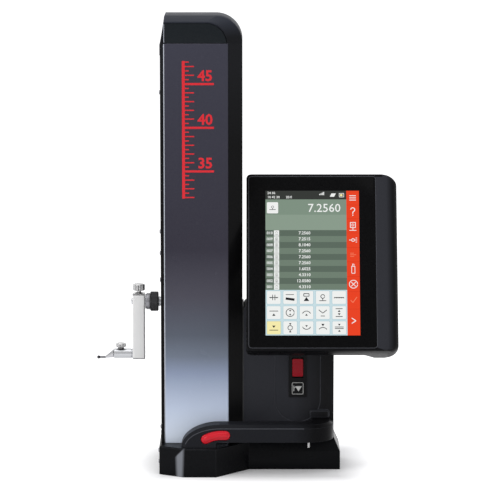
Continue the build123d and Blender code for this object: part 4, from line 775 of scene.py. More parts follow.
def addInserts(shape):
    # the outline is a rectangle whose upper right corner is an arc that runs down to the lower edge;
    # its centre is arc below the top, and as far left as lets it meet the lower right corner
    low, high = boxOf("cap_inserts")
    centreZ = high[2] - shape["arc"]
    centreX = high[0] - np.sqrt(shape["arc"] ** 2 - (low[2] - centreZ) ** 2)
    parts = []
    for side, out in ((1, -low[1]), (-1, high[1])):
        rows = []
        for inset, height in edgeLevels(out - shape["thick"], out, 0.0, shape["edge"]) + (shape["groove"], 0):
            radius, left, bottom = shape["arc"] - inset, low[0] + inset, low[2] + inset
            t = np.linspace(np.arcsin((bottom - centreZ) / radius), pi / 2, shape["arcSteps"])
            a = np.concatenate([[left], centreX + radius * np.cos(t), [left]])
            b = np.concatenate([[bottom], centreZ + radius * np.sin(t), [high[2] - inset]])
            rows.append(facingFront(a, b, np.full(len(a), height * side)))
        parts.append(gridPart(np.stack(rows)))
    addParts("capInserts", parts, "pianoBlack", "cap_inserts", ("cap_inserts",))


addInserts(insertShape)


# Thin bright trim along the front edge of the panel and of the cap's insert: left and end margins
trimShape = {
    "width": 1.1, "proud": 0.12, "sunk": 0.3, "round": 0.2, "edge": 0.1,
    "margins": {"side_panel_front": (0.1, 0.5), "cap_inserts": (0.5, 1.0)},
}


def addTrim(shape):
    parts = []
    for node, (left, end) in shape["margins"].items():
        low, high = boxOf(node)
        strip = pen(facingFront, -low[1] - shape["sunk"], -low[1] + shape["proud"])
        box = (low[0] + left, low[0] + shape["width"], low[2] + end, high[2] - end)
        parts.append(strip.tile(*box, shape["round"], shape["edge"]))
    addParts("panelTrim", parts, "trimAluminium", "side_panel_front")


addTrim(trimShape)


# Black rubber seal that closes the gap between the column and the rear housing
sealShape = {"inset": 3.0, "bottom": 0.5, "top": 1.0, "round": 0.8, "edge": 0.2, "overlap": 0.15}


def addSeal(shape):
    low, high = boxOf("housing_front")
    back, over = boxOf("housing_back")[1][1], shape["overlap"]
    strip = pen(alongX, boxOf("rear_cover")[1][0] - over, low[0] + over)
    box = (low[1] + shape["inset"], back - shape["inset"], low[2] + shape["bottom"], high[2] - shape["top"])
    addParts("columnSeal", [strip.tile(*box, shape["round"], shape["edge"])], "beltRubber", "housing_front")


addSeal(sealShape)


# Red height graduation on the side panel: a spine, strokes every 10 mm and plain figures in centimetres
gradeShape = {
    "left": -77.5, "right": -41.0, "from": 320.0, "to": 475.0, "step": 5.0, "spine": 3.4, "over": 1.3,
    "short": 8.0, "middle": 14.0, "stroke": 1.5, "bold": 2.6, "round": (0.4, 0.3), "sunk": 0.05, "proud": 0.1,
    "figures": 17.0, "figuresAt": (12.5, 0.52), "figuresBold": 0.45,
}


def addGraduation(shape):
    front, left = -boxOf("side_panel_front")[0][1], shape["left"]
    paint = pen(facingFront, front - shape["sunk"], front + shape["proud"])
    start, over, size = left + shape["spine"], shape["over"], shape["figures"]
    parts = [paint.tile(left, start, shape["from"] - over, shape["to"] + over, shape["round"][0])]
    for height in np.arange(shape["from"], shape["to"] + 1, shape["step"]):
        whole = height % 50 == 0
        end = shape["right"] if whole else left + shape["middle" if height % 10 == 0 else "short"]
        half = shape["bold" if whole else "stroke"] / 2
        parts.append(paint.tile(start, end, height - half, height + half, shape["round"][1]))
        if whole:
            x = left + shape["middle"] + shape["figuresAt"][0]
            y = height + size * shape["figuresAt"][1]
            parts.append(paint.text(str(int(height / 10)), size, x, y, shape["figuresBold"]))
    addParts("graduation", parts, "gradeRed", "side_panel_front", merge=False)


addGraduation(gradeShape)


# Screws: button heads with a hexagon socket, at each solid of a screw node


def islandBoxes(node):
    # lowest and highest corners of each loose part of a node's mesh, in millimetres
    work = openMesh(nodes[node].data)
    left, boxes = set(work.verts), []
    while left:
        queue, island = [left.pop()], []
        while queue:
            vert = queue.pop()
            island.append(vert.co[:])
            others = {edge.other_vert(vert) for edge in vert.link_edges} & left
            left -= others
            queue += others
        coords = np.array(island) / millimetre
        boxes.append((coords.min(0), coords.max(0)))
    work.free()
    return sorted(boxes, key=lambda box: box[0].round(1).tolist())


screwShapes = {
    "coverScrews": {"node": "cover_screws", "radius": 2.5, "height": 1.3, "shank": 1.25, "socket": 0.95},
    "housingScrews": {"node": "housing_screws", "radius": 2.4, "height": 1.2, "shank": 1.2, "socket": 0.9},
}
screwHead = {"rim": 0.35, "mouth": 1.35, "deep": 0.3, "deeper": 0.25, "pole": 0.02, "steps": 24}


def screwGrid(shape, length, place):
    # domed head with a hexagon socket; the socket's radius follows socket / cos(t) within each sixth
    head, radius, height, socket = screwHead, shape["radius"], shape["height"], shape["socket"]
    rows = [(head["pole"], -length), (shape["shank"], -length), (shape["shank"], 0.0), (radius, 0.0)]
    for t in np.linspace(0, pi / 2, 5):
        fall = (radius - socket * head["mouth"]) * (1 - cos(t))
        rows.append((radius - fall, height * (head["rim"] + (1 - head["rim"]) * sin(t))))
    rows += [(socket, height), (socket, height * head["deep"]), (head["pole"], height * head["deeper"])]

    def hexagon(radius, along, t):
        sixth = socket * (1 / np.cos((t + pi / 6) % (pi / 3) - pi / 6) - 1)
        return np.where((radius == socket) & (along > 0), sixth, 0.0)

    return turnedGrid(rows, head["steps"], place, hexagon)


def addScrews(name, shape):
    # the cover's heads face the probe, the housing's face the back
    parts, height, node = [], shape["height"], shape["node"]
    for low, high in islandBoxes(node):
        x, y, z = (low + high) / 2
        if node == "cover_screws":
            place = lambda a, b, h: np.stack([low[0] + height - h, y + a, z + b], -1)
            length = high[0] - low[0] - height
        else:
            place = aboutY(x, z, high[1] - height)
            length = high[1] - low[1] - height
        parts.append(gridPart(screwGrid(shape, length, place)))
    addParts(name, parts, "screwSteel", node, (node,))


for name, shape in screwShapes.items():
    addScrews(name, shape)
print("column dressed")


# Probe carrier. Profile rows are (radius, mark, offset): the mark is a place along the axis, a named
# radius is looked up too, and a radius of zero or less counts inwards from the piece's own.
probeShape = {
    "height": 192.6, "sleeveHeight": 131.0, "neckGap": 0.3,
    "spindle": [
        ("pole", "start", 0.9), (1.3, "start", 0.9), (1.4, "start", 0), (3.2, "start", 0),
        (3.9, "start", 0.7), (3.9, "arm", 0.5), (3.98, "neck", -8), (3.98, "neck", 0),
        (5.3, "neck", 0), (5.9, "neck", 0.5),
        (5.9, "neck", 1.2), (5.2, "neck", 1.6), (5.2, "neck", 2.6), (5.9, "neck", 3.0), (5.9, "stop", -9),
        (3.98, "stop", -9), (3.98, "stop", 0), ("pole", "stop", 0),
    ],
    "collar": [
        (4.05, "start", 0), (-1.4, "start", 0), (-0.8, "start", 0.5), (-0.8, "start", 1.6), (0, "start", 1.9),
        (0, "start", 3.2), (-0.35, "start", 3.4), (-0.35, "start", 3.9), (0, "start", 4.1), (0, "stop", -0.4),
        (-0.4, "stop", 0), (4.05, "stop", 0), (4.05, "start", 0),
    ],
    "sleeve": [
        (2.2, "start", 0.6), (3.4, "start", 0.6), (3.9, "start", 0), (-0.7, "start", 0), (0, "start", 0.6),
        (0, "arm", -2.0), (-0.35, "arm", -1.7), (-0.35, "arm", -1.1), (0, "arm", -0.8), (0, "arm", 0),
        (3.9, "arm", 0), (3.9, "stop", 0), (2.2, "stop", 0), (2.2, "start", 0.6),
    ],
}


def profileRows(rows, marks, own=0.0):
    rows = [(marks.get(radius, radius), marks[mark] + offset) for radius, mark, offset in rows]
    return [(radius if radius > 0 else own + radius, along) for radius, along in rows]


def marksOf(node, shape):
    # the places along X that the profiles refer to, and the node's own radius
    low, high = boxOf(node)
    marks = {"start": low[0], "stop": high[0], "arm": boxOf("probe_arm")[0][0], "pole": meshLimits["pole"]}
    marks["neck"] = boxOf("clamp_ring")[1][0] + shape["neckGap"]
    return marks, (high[2] - low[2]) / 2


def addTurned(name, node, finish, steps, height, capped, shape):
    # the profile turned about X
    grid = turnedGrid(profileRows(shape[name], *marksOf(node, shape)), steps, aboutX(height))
    addParts(name, [gridPart(grid, capped)], finish, node, (node,))


def groovedPart(rows, steps, place, wobble, depth, finish, shade, capped=True):
    # a turned grid whose colour goes from crest to the painted shade of the groove with the depth of
    # the wobble, and darker by the shade of each row
    profile, t = np.array(rows), np.linspace(0, 2 * pi, steps, endpoint=False)
    sunk = -wobble(profile[:, :1], profile[:, 1:], t[None, :]) / depth
    colour = grooveColours(finish, sunk + shade(profile[:, :1], profile[:, 1:]))
    return gridPart(turnedGrid(rows, steps, place, wobble), capped, colour)


ringShape = {
    "count": 34, "pitch": 1.9, "depth": 0.55, "lip": 1.0, "bands": 34, "grid": 7, "bore": 4.1, "slack": 0.01,
    "side": [(-2.4, 0), (-1.0, 0), (-0.3, 0.7)], "shade": 0.7, "contrast": 1.3, "sharp": 50.0,
}


def addRing(shape):
    # two crossing sets of V grooves: depth times one less the smaller of |sin(a + b)| and |sin(a - b)|,
    # a being half of count turns and b half a turn for each pitch along the axis
    marks, own = marksOf("clamp_ring", probeShape)
    start, stop, lip, bore = marks["start"], marks["stop"], shape["lip"], shape["bore"]
    low, high = start + lip, stop - lip

    def knurl(radius, along, t):
        across, slant = shape["count"] * t / 2, pi * along / shape["pitch"]
        ridge = np.minimum(np.abs(np.sin(across + slant)), np.abs(np.sin(across - slant)))
        inside = (along > low - shape["slack"]) & (along < high + shape["slack"])
        return -shape["depth"] * (1 - ridge) * inside

    rows = [(bore, start)] + [(own + inset, start + along) for inset, along in shape["side"]]
    rows += [(own, along) for along in np.linspace(low, high, shape["bands"])]
    rows += [(own - 0.3, stop - 0.7), (own - 1.0, stop), (bore, stop), (bore, start)]
    # the ring's sides, under its full radius, are darkened by painted shade
    part = groovedPart(
        rows, shape["count"] * shape["grid"], aboutX(probeShape["height"]), knurl,
        shape["depth"] / shape["contrast"], "knurledSteel",
        lambda r, along: (r < own) * shape["shade"], False,
    )
    addParts("clampRing", [part], "knurledSteel", "clamp_ring", ("clamp_ring",), sharp=shape["sharp"])


armShape = {
    "round": 1.7, "edge": 0.9, "arcSteps": 6, "bandProud": 0.04, "bandThick": 1.1, "bandIn": 0.2,
    "bandEdge": 0.3,
}


def addArm(shape):
    # an upright bar with rounded edges, and a dark band round each end as painted shade of its rounded ends
    low, high = boxOf("probe_arm")
    levels = edgeLevels(low[2], high[2], shape["edge"], shape["edge"])
    box = (low[0], high[0], low[1], high[1], shape["round"])
    grid = prismGrid(*box, levels, upright, shape["arcSteps"])
    addParts("arm", [gridPart(grid)], "satinGrey", "probe_arm", ("probe_arm",))
    proud, thick, margin = shape["bandProud"], shape["bandThick"], shape["bandIn"]
    sides = (low[0] - proud, high[0] + proud, low[1] - proud, high[1] + proud)
    rounds = (shape["round"], shape["bandEdge"], shape["arcSteps"])
    starts = (low[2] + margin, high[2] - thick - margin)
    bands = [pen(upright, start, start + thick).tile(*sides, *rounds) for start in starts]
    addParts("armCaps", bands, "oxideBlack", "probe_arm")


knobShape = {
    "flutes": 20, "depth": 0.75, "grid": 6, "shade": 0.8, "neckIn": 1.5, "edgeIn": 0.05, "flange": 1.6,
    "sharp": 40,
    "foot": [
        ("pole", "low", 0), ("shank", "low", 0), ("shank", "flange", 0), ("wide", "flange", 0),
        ("wide", "flange", 0.7), ("neck", "flange", 0.9), ("neck", "knob", 0), (-1.0, "knob", 0),
        (-0.2, "knob", 0.5),
    ],
    "band": (0.55, -0.75, 8),
    "head": [
        (-0.2, "top", -0.6), (-0.9, "top", 0), (-2.2, "top", 0), (-2.8, "top", -0.5), ("pole", "top", -0.6),
    ],
}
knobs = {
    "armScrew": {"node": "arm_thumbscrew", "shank": 1.95, "neck": 2.6, "gap": 3.2, "knob": 7.5},
    "insertScrew": {"node": "insert_thumbscrew", "shank": 1.45, "neck": 2.1, "gap": 1.5, "knob": 4.7},
}


def addThumbscrew(name, sizes, shape):
    # a turned screw whose knob has flutes: depth * |cos(flutes * t / 2)| ^ 3; the neck lies in shade
    low, high = boxOf(sizes["node"])
    middle, own = (low[0] + high[0]) / 2, (high[0] - low[0]) / 2
    knob, top = high[2] - sizes["knob"], high[2]
    flutes, depth, edge = shape["flutes"], shape["depth"], own - shape["edgeIn"]
    marks = {
        "pole": meshLimits["pole"], "shank": sizes["shank"], "neck": sizes["neck"],
        "wide": sizes["neck"] + shape["flange"], "low": low[2], "flange": knob - sizes["gap"], "knob": knob,
        "top": top,
    }
    start, stop, count = shape["band"]
    rows = profileRows(shape["foot"], marks, own)
    rows += [(own, along) for along in np.linspace(knob + start, top + stop, count)]
    rows += profileRows(shape["head"], marks, own)
    part = groovedPart(
        rows, flutes * shape["grid"], aboutZ(middle, 0.0),
        lambda r, along, t: -depth * np.abs(np.cos(flutes * t / 2)) ** 3 * (r > edge), depth, "flutedSteel",
        lambda r, along: shape["shade"] * ((r < own - shape["neckIn"]) & (along < knob)),
    )
    addParts(name, [part], "flutedSteel", sizes["node"], (sizes["node"],), sharp=shape["sharp"])


stylusShape = {
    "rodHeight": 126.6, "shank": 1.95, "cup": 4.9, "cupEdge": (0.3, 0.5), "rod": 1.2, "cone": 1.15,
    "gap": 0.3, "tip": 10.0, "rodIn": 0.6, "end": (2.4, 1.7, 1.05), "steps": 40, "leanSteps": 7,
    "ball": 2.0, "ballSteps": (24, 36), "ballPole": 0.02,
}


def addStylus(shape):
    # rows are (x, height of the centre, radius); the cone leans in a straight line from the shank down
    # to the rod, and the ball is a half circle turned about X
    stop = boxOf("stylus")[1][0]
    ballX = sum(boxOf("probe_ball"))[0] / 2
    sleeve, pole = boxOf("insert_sleeve")[0][0], meshLimits["pole"]
    base, tip = sleeve - shape["gap"], sleeve - shape["tip"]
    upper, lower = probeShape["sleeveHeight"], shape["rodHeight"]
    shank, cup, cone, rod = (shape[key] for key in ("shank", "cup", "cone", "rod"))
    back, inward = shape["cupEdge"]
    rows = [(stop, upper, pole), (stop, upper, shank), (base, upper, shank), (base, upper, cup - inward)]
    rows += [(base - back, upper, cup)]
    for s in np.linspace(0, 1, shape["leanSteps"])[1:]:
        rows.append((base + (tip - base) * s, upper + (lower - upper) * s, cup + (cone - cup) * s))
    near, far, thin = shape["end"]
    start = tip + shape["rodIn"]
    bar = [(start, lower, pole), (start, lower, rod), (ballX + near, lower, rod), (ballX + far, lower, thin)]
    bar += [(ballX + far, lower, pole)]
    t = np.linspace(0, 2 * pi, shape["steps"], endpoint=False)
    for name, finish, path in (("stylusCone", "stylusSteel", rows), ("stylusRod", "rodSteel", bar)):
        x, z, radius = (np.array(path)[:, k:k + 1] for k in (0, 1, 2))
        grid = np.stack([x * np.ones_like(t), radius * np.cos(t), z + radius * np.sin(t)], -1)
        addParts(name, [gridPart(grid)], finish, "stylus", ("stylus",))
    (rings, around), end = shape["ballSteps"], shape["ballPole"]
    turn = np.linspace(end, pi - end, rings)
    profile = np.stack([shape["ball"] * np.sin(turn), -shape["ball"] * np.cos(turn)], 1)
    ball = gridPart(turnedGrid(profile, around, aboutX(lower, 0.0, ballX)))
    addParts("tipBall", [ball], "carbide", "probe_ball", ("probe_ball",))


addTurned("spindle", "probe_spindle", "turnedSteel", 48, probeShape["height"], True, probeShape)
addRing(ringShape)
addTurned("collar", "spindle_collar", "screwSteel", 64, probeShape["height"], False, probeShape)
addArm(armShape)
for name, sizes in knobs.items():
    addThumbscrew(name, sizes, knobShape)
addTurned("sleeve", "insert_sleeve", "turnedSteel", 48, probeShape["sleeveHeight"], False, probeShape)
addStylus(stylusShape)
print("probe carrier dressed")


# Controls on the rear housing: dished red rocker between two marked tiles
rockerShape = {
    "dish": 1.3, "round": 1.4, "edge": 1.0, "backEdge": 0.6, "halfWide": 6.25, "middle": 0.25, "rings": 8,
    "taper": 0.25, "pin": 1.45, "pinSteps": 20, "sharp": 35.0,
}


def addRocker(shape):
    # the front face sinks by dish * (1 - (b / half)^2) between its upper and lower ends
    low, high = boxOf("jog_lever")
    x, y, z = (low + high) / 2
    half, wide, front, back = (high[2] - low[2]) / 2, shape["halfWide"], -low[1], -high[1]
    levels = edgeLevels(back, front, shape["backEdge"], shape["edge"], 6).tolist()
    insets = np.linspace(shape["edge"] + shape["backEdge"], wide - shape["middle"], shape["rings"])
    levels += [(inset, front) for inset in insets]

    def place(a, b, h):
        weight = np.clip((h - back) / (front - back), 0, 1) ** 2
        dish = shape["dish"] * (1 - np.clip(b / half, -1, 1) ** 2)
        return np.stack([a + x, -(h - dish * weight), b * (1 - shape["taper"] * (1 - weight)) + z], -1)

    face = gridPart(prismGrid(-wide, wide, -half, half, shape["round"], levels, place))
    pinY = sum(boxOf("jog_plate"))[1] / 2
    pin = rodPart(shape["pin"], low[0], high[0], shape["pinSteps"], aboutX(z, pinY))
    addParts("rocker", [face, pin], "rockerRed", "jog_lever", ("jog_lever",), sharp=shape["sharp"])


tileShape = {
    "corner": 2.2, "edge": 0.25, "line": 0.6, "inset": 0.8, "sunk": 0.1, "proud": 0.1, "right": 1.0,
    "triangle": (3.9, 2.6, 3.6), "bar": (5.4, 3.2, 0.9), "link": (3.4, 0.2, 1.8, 0.8),
}


def addTiles(shape):
    # each tile has a thin frame and a triangle beside a bar; the lower tile's sign stands on its head
    plates, marks = [], []
    across, foot, tip = shape["triangle"]
    barAt, barHalf, barWidth = shape["bar"]
    linkAt, linkFrom, linkTo, linkWidth = shape["link"]
    for low, high in islandBoxes("jog_tiles"):
        front, line = -low[1], shape["inset"]
        plate = pen(facingFront, -high[1], front)
        mark = pen(facingFront, front - shape["sunk"], front + shape["proud"])
        plates.append(plate.tile(low[0], high[0], low[2], high[2], shape["corner"], shape["edge"], 8))
        box = (low[0] + line, high[0] - line, low[2] + line, high[2] - line)
        x, z = (low[0] + high[0]) / 2 + shape["right"], (low[2] + high[2]) / 2
        sense = -1 if z < boxOf("jog_lever")[0][2] else 1
        marks += [
            mark.frame(*box, shape["line"], shape["corner"] - line),
            mark.shape([
                (x - across, z - sense * foot), (x + across, z - sense * foot), (x, z + sense * tip),
            ]),
            mark.stroke(x - barAt, z - barHalf, x - barAt, z + barHalf, barWidth),
            mark.stroke(x - barAt, z + sense * linkFrom, x - linkAt, z - sense * linkTo, linkWidth),
        ]
    addParts("controlTiles", plates, "controlBlack", "jog_tiles", ("jog_tiles",))
    addParts("tileMarks", marks, "markWhite", "jog_tiles", merge=False)


addRocker(rockerShape)
addTiles(tileShape)


# Air button: a curved slot with a domed face
buttonShape = {
    "left": (-50.8, 44.0), "middle": (-42.0, 47.3), "right": (-28.2, 48.3), "half": 5.6, "edge": 2.2,
    "dome": 1.6, "thick": 8.0, "centre": 0.3, "stem": (1.95, 9.0, 24), "sharp": 40.0,
}


def addAirButton(shape):
    # the centre line is the circle through three points; the outline stands off it by half the width
    # less an inset, and the face falls by dome * (1 - (1 - s)^2) from its middle to its edge
    low, high = boxOf("air_button")
    (ax, az), (bx, bz), (cx, cz) = shape["left"], shape["middle"], shape["right"]
    d = 2 * (ax * (bz - cz) + bx * (cz - az) + cx * (az - bz))
    aa, bb, cc = ax**2 + az**2, bx**2 + bz**2, cx**2 + cz**2
    across = aa * (bz - cz) + bb * (cz - az) + cc * (az - bz)
    above = aa * (cx - bx) + bb * (ax - cx) + cc * (bx - ax)
    centre = np.array([across, above]) / d
    radius = np.hypot(ax - centre[0], az - centre[1])
    start, stop = (np.arctan2(z - centre[1], x - centre[0]) for x, z in (shape["left"], shape["right"]))
    along, cap = np.linspace(start, stop, 16), np.linspace(0, pi, 14)[1:-1]

    def arc(middle, size, angles):
        return np.array(middle) + size * np.stack([np.cos(angles), np.sin(angles)], 1)

    def outline(reach, height):
        outer, inner = arc(centre, radius + reach, along), arc(centre, radius - reach, along)[::-1]
        right, left = arc(shape["right"], reach, stop - cap), arc(shape["left"], reach, start + pi - cap)
        flat = np.concatenate([outer, right, inner, left])
        return facingFront(flat[:, 0], flat[:, 1], np.full(len(flat), height))

    front, half, edge, dome = -low[1], shape["half"], shape["edge"], shape["dome"]
    rows = [(half, front - shape["thick"]), (half, front - dome - edge)]
    for t in np.linspace(0, pi / 2, 6)[1:]:
        rows.append((half - edge * (1 - cos(t)), front - dome - edge * (1 - sin(t))))
    for s in np.linspace(0.15, 1, 7):
        rows.append((half - edge - s * (half - edge - shape["centre"]), front - dome * (1 - s) ** 2))
    face = gridPart(np.stack([outline(reach, height) for reach, height in rows]))
    thick, length, steps = shape["stem"]
    stem = rodPart(thick, 0.0, length, steps, aboutY((ax + cx) / 2, bz, high[1] - length))
    addParts("airButton", [face, stem], "signalRed", "air_button", ("air_button",), sharp=shape["sharp"])


addAirButton(buttonShape)


# Painted highlight line where the handle's front face meets its upper bevel
handleLine = {
    "centre": (-34.4, 33.5), "across": 44.6, "up": 26.7, "bevel": 4.0, "right": 62.0, "width": 0.8,
    "start": 168.0, "front": 72.0, "steps": 28, "sunk": 0.2, "proud": 0.04,
}


def addHandleLine(shape):
    # a band of even width: an ellipse's quarter, inset by the bevel, that runs on as a straight line
    edges = []
    t = np.radians(np.linspace(shape["start"], 90.0, shape["steps"]))
    for inset in (shape["bevel"] - shape["width"] / 2, shape["bevel"] + shape["width"] / 2):
        x = shape["centre"][0] + (shape["across"] - inset) * np.cos(t)
        z = shape["centre"][1] + (shape["up"] - inset) * np.sin(t)
        edges.append(np.stack([np.append(x, shape["right"]), np.append(z, z[-1])], 1))
    band = pen(facingFront, shape["front"] - shape["sunk"], shape["front"] + shape["proud"])
    outline = np.concatenate([edges[0], edges[1][::-1]])
    addParts("handleLine", [band.shape(outline)], "edgePale", "handle_shell")


addHandleLine(handleLine)


# Small steel grub screw that shows under the end of the handle
grubShape = {
    "x": 67.3, "y": -59.0, "radius": 1.7, "bottom": 31.5, "top": 7.2, "turns": 5, "pitch": 1.5, "first": 1.2,
    "thread": 0.35, "end": (0.7, 0.8), "steps": 24, "sharp": 50.0,
}


def addGrub(shape):
    # a turned bar whose radius drops by the thread's depth once in each pitch
    radius, bottom, top = shape["radius"], shape["bottom"], boxOf("handle_shell")[0][2] + shape["top"]
    thin, high = shape["end"]
    rows = [(meshLimits["pole"], bottom), (radius - thin, bottom), (radius, bottom + high)]
    for at in bottom + shape["first"] + np.arange(shape["turns"]) * shape["pitch"]:
        rows += [(radius, at), (radius - shape["thread"], at + 0.5), (radius, at + 1.0)]
    rows += [(radius, top), (meshLimits["pole"], top)]
    grid = turnedGrid(rows, shape["steps"], aboutZ(shape["x"], shape["y"]))
    addParts("grubScrew", [gridPart(grid)], "knobSteel", "handle_plate", sharp=shape["sharp"])


addGrub(grubShape)
print("controls dressed")


# Display head, laid out across and up its own tilted face
displayShape = {
    "corner": (-4.2, -95.0, 152.0), "tilt": 25.0, "body": 149.1, "width": 173.7, "height": 210.0,
    "rimWidth": 0.5, "rimLevels": (-0.4, 0.04), "glassInset": 3.0, "glassSlack": 0.1, "glassRight": 0.5,
    "glassCorner": 3.2, "glassEdge": 0.6, "glassDepth": 1.2, "bevel": 0.6, "sharp": 40.0, "endFace": 0.5,
    "leftRound": 5.0, "rightRound": 10.0, "leftReach": 24.0, "rightReach": 22.0,
    "endLevels": (0.4, 0.8, 1.4, 2.2, 3.2, 4.4, 6.0, 8.0, 10.0),
}
tilt = radians(displayShape["tilt"])
faceOut = np.array([0.0, -cos(tilt), sin(tilt)])
faceUp = np.array([0.0, sin(tilt), cos(tilt)])


def onDisplay(a, b, h):
    # a across, b up the face, h out of it
    steps = ((a, (1.0, 0.0, 0.0)), (b, faceUp), (h, faceOut))
    return np.array(displayShape["corner"]) + sum(np.multiply.outer(way, axis) for way, axis in steps)


def roundEnds(mesh, shape):
    # near both ends the side walls turn in by r - sqrt(r^2 - (r - u)^2), u being the way to the end
    work = openMesh(mesh, False)
    corner, height, width = np.array(shape["corner"]), shape["height"], shape["width"]
    for level in shape["endLevels"]:
        for up in (level, height - level):
            whole = work.verts[:] + work.edges[:] + work.faces[:]
            point = (corner + up * faceUp) * millimetre
            bmesh.ops.bisect_plane(work, geom=whole, dist=1e-6, plane_co=point, plane_no=faceUp)
    work.to_mesh(mesh)
    work.free()
    coords = readRows(mesh.vertices, "co")
    local = coords / millimetre - corner
    across, up = local[:, 0], local @ faceUp
    fromEnd = np.clip(np.minimum(up, height - up), 0, None)

    def turnIn(radius, fromSide, reach):
        missing = np.clip(radius - fromEnd, 0, radius)
        return (radius - np.sqrt(radius**2 - missing**2)) * np.clip(1 - fromSide / reach, 0, 1)

    moved = turnIn(shape["leftRound"], across, shape["leftReach"])
    moved -= turnIn(shape["rightRound"], width - across, shape["rightReach"])
    coords[:, 0] += moved * millimetre
    mesh.vertices.foreach_set("co", coords.ravel())
    mesh.polygons.foreach_set("use_smooth", np.ones(len(mesh.polygons), bool))
    mesh.set_sharp_from_angle(angle=radians(shape["sharp"]))


def addDisplayBody(shape):
    # the grip's faces take the softer dark grey, from the line where the glass ends
    piece = softCopy("displayShell", "display_shell", "displayBlack", shape["bevel"], 3, "edgeDark")
    mesh = piece.data
    roundEnds(mesh, shape)
    gripIndex = len(mesh.materials)
    mesh.materials.append(materials["gripGrey"])
    edge = (shape["corner"][0] + shape["body"] + shape["glassSlack"]) * millimetre
    x, away = readRows(mesh.polygons, "center")[:, 0], readRows(mesh.polygons, "normal") @ faceUp
    grip = (x > edge) & (np.abs(away) < shape["endFace"])
    mesh.polygons.foreach_set("material_index", gripIndex * grip.astype(np.int32))


def addGlass(shape):
    # a plate with a rounded edge, and a thin paler line round it as a painted highlight of the glass edge
    inset, slack = shape["glassInset"], shape["glassSlack"]
    corner, out = shape["glassCorner"], shape["rimWidth"]
    right, top = shape["body"] - shape["glassRight"], shape["height"] - inset
    box = (inset + slack, right, inset + slack, top - slack)
    plate = pen(onDisplay, -shape["glassDepth"], 0.0).tile(*box, corner, shape["glassEdge"], 8)
    addParts("coverGlass", [plate], "screenBlack", "display_glass", ("display_glass",))
    outer = (inset - out, right + out, inset - out, top + out)
    rim = pen(onDisplay, *shape["rimLevels"]).frame(*outer, out, corner + out)
    addParts("glassRim", [rim], "edgePale", "display_glass")


addDisplayBody(displayShape)
addGlass(displayShape)


# Screen picture: a reading, a list of results, function tiles and a side bar, all in generic signs
screenLook = {
    "left": 22.0, "bottom": 17.6, "width": 107.6, "height": 172.2, "bar": 93.0, "level": 0.02, "over": 0.01,
    "statusFrom": 161.8, "listTop": 124.9, "listBottom": 53.6, "rows": 10, "columns": 5,
    "barLines": (155.0, 138.5, 121.5, 104.0, 87.0, 69.5, 51.5, 31.0),
    "values": [
        "7.2560", "7.2515", "8.1040", "7.2560", "7.2560", "7.2560", "1.6025", "4.3310", "12.0580", "4.3310",
    ],
}
screenColours = {
    "status": (52, 55, 52), "field": (128, 147, 131), "fieldLow": (140, 158, 142), "rowDark": (92, 107, 95),
    "rowPale": (112, 129, 114), "white": (244, 246, 244), "pale": (203, 226, 232),
    "paleLine": (150, 190, 204), "ink": (28, 30, 34), "yellow": (250, 240, 176), "bar": (238, 66, 30),
    "barLine": (206, 48, 20),
    "barDim": (250, 130, 96), "black": (8, 8, 10),
}

# Signs of the measuring functions, by tile, drawn about the tile's middle: flat shapes and their numbers
functionSigns = {
    "gap": [("stroke", -5, 0, 5, 0), ("stroke", -1.3, -3.2, -1.3, 3.2), ("stroke", 1.3, -3.2, 1.3, 3.2),
            ("wedge", -3.4, -0.8, 0.9, 1), ("wedge", 3.4, -0.8, 0.9, 1)],
    "probe": [("stroke", -5, 3.4, 4.5, 3.4, 0.7), ("stroke", -5, -1.2, 5, -2.6, 2.8)],
    "arrow": [("stroke", -3, 1.5, 3, 1.5), ("stroke", -3, 4.6, 3, 4.6), ("stroke", -3, 1.5, -3, 4.6),
              ("stroke", 3, 1.5, 3, 4.6), ("wedge", 0, -4.2, 3.2, 1)],
    "zero": [("stroke", -4, -3.8, 4, -3.8), ("arc", 0, 1.2, 2.2, 0.8, 0, 350), ("stroke", 0, -3.8, 0, -1.4)],
    "chain": [("stroke", -5.5, 0, 5.5, 0)] + [("wedge", k * 2.6, -0.9, 0.95, 1) for k in (-2, -1, 0, 1, 2)],
    "plane": [("stroke", -5, 1.8, 5, 1.8), ("wedge", 0, -3.8, 1.9, 1)],
    "bore": [("arc", 0, 0, 4.6, 0.8, 0, 350), ("wedge", 0, -3.0, 1.3, 1), ("wedge", 0, 3.0, 1.3, -1)],
    "crest": [("arc", 0, -3.2, 5.0, 0.8, 25, 155), ("wedge", 0, -3.6, 1.5, 1)],
    "valley": [("stroke", -4.6, 3.2, 0, -0.6), ("stroke", 0, -0.6, 4.6, 3.2), ("stroke", -2.4, -4, 2.4, -4)],
    "slot": [("stroke", -4, 4.6, 4, 4.6), ("stroke", -4, -4.6, 4, -4.6), ("wedge", 0, 0.8, 1.6, 1),
             ("wedge", 0, -0.8, 1.6, -1)],
    "floor": [("stroke", -5, -2.8, 5, -2.8), ("wedge", 0, 2.6, 1.9, -1)],
    "ball": [("arc", 0, 0, 2.6, 0.8, 0, 350), ("wedge", 0, 5.4, 1.5, -1), ("wedge", 0, -5.4, 1.5, 1)],
    "dip": [("arc", 0, 3.2, 5.0, 0.8, 205, 335), ("wedge", 0, 3.0, 1.5, -1)],
    "dome": [("arc", 0, -5.0, 5.4, 0.8, 35, 145), ("wedge", 0, 4.6, 1.9, -1)],
    "both": [("stroke", -5, 0.9, 5, 0.9), ("stroke", -5, -0.9, 5, -0.9), ("wedge", 0, 4.6, 1.5, -1),
             ("wedge", 0, -4.6, 1.5, 1)],
}

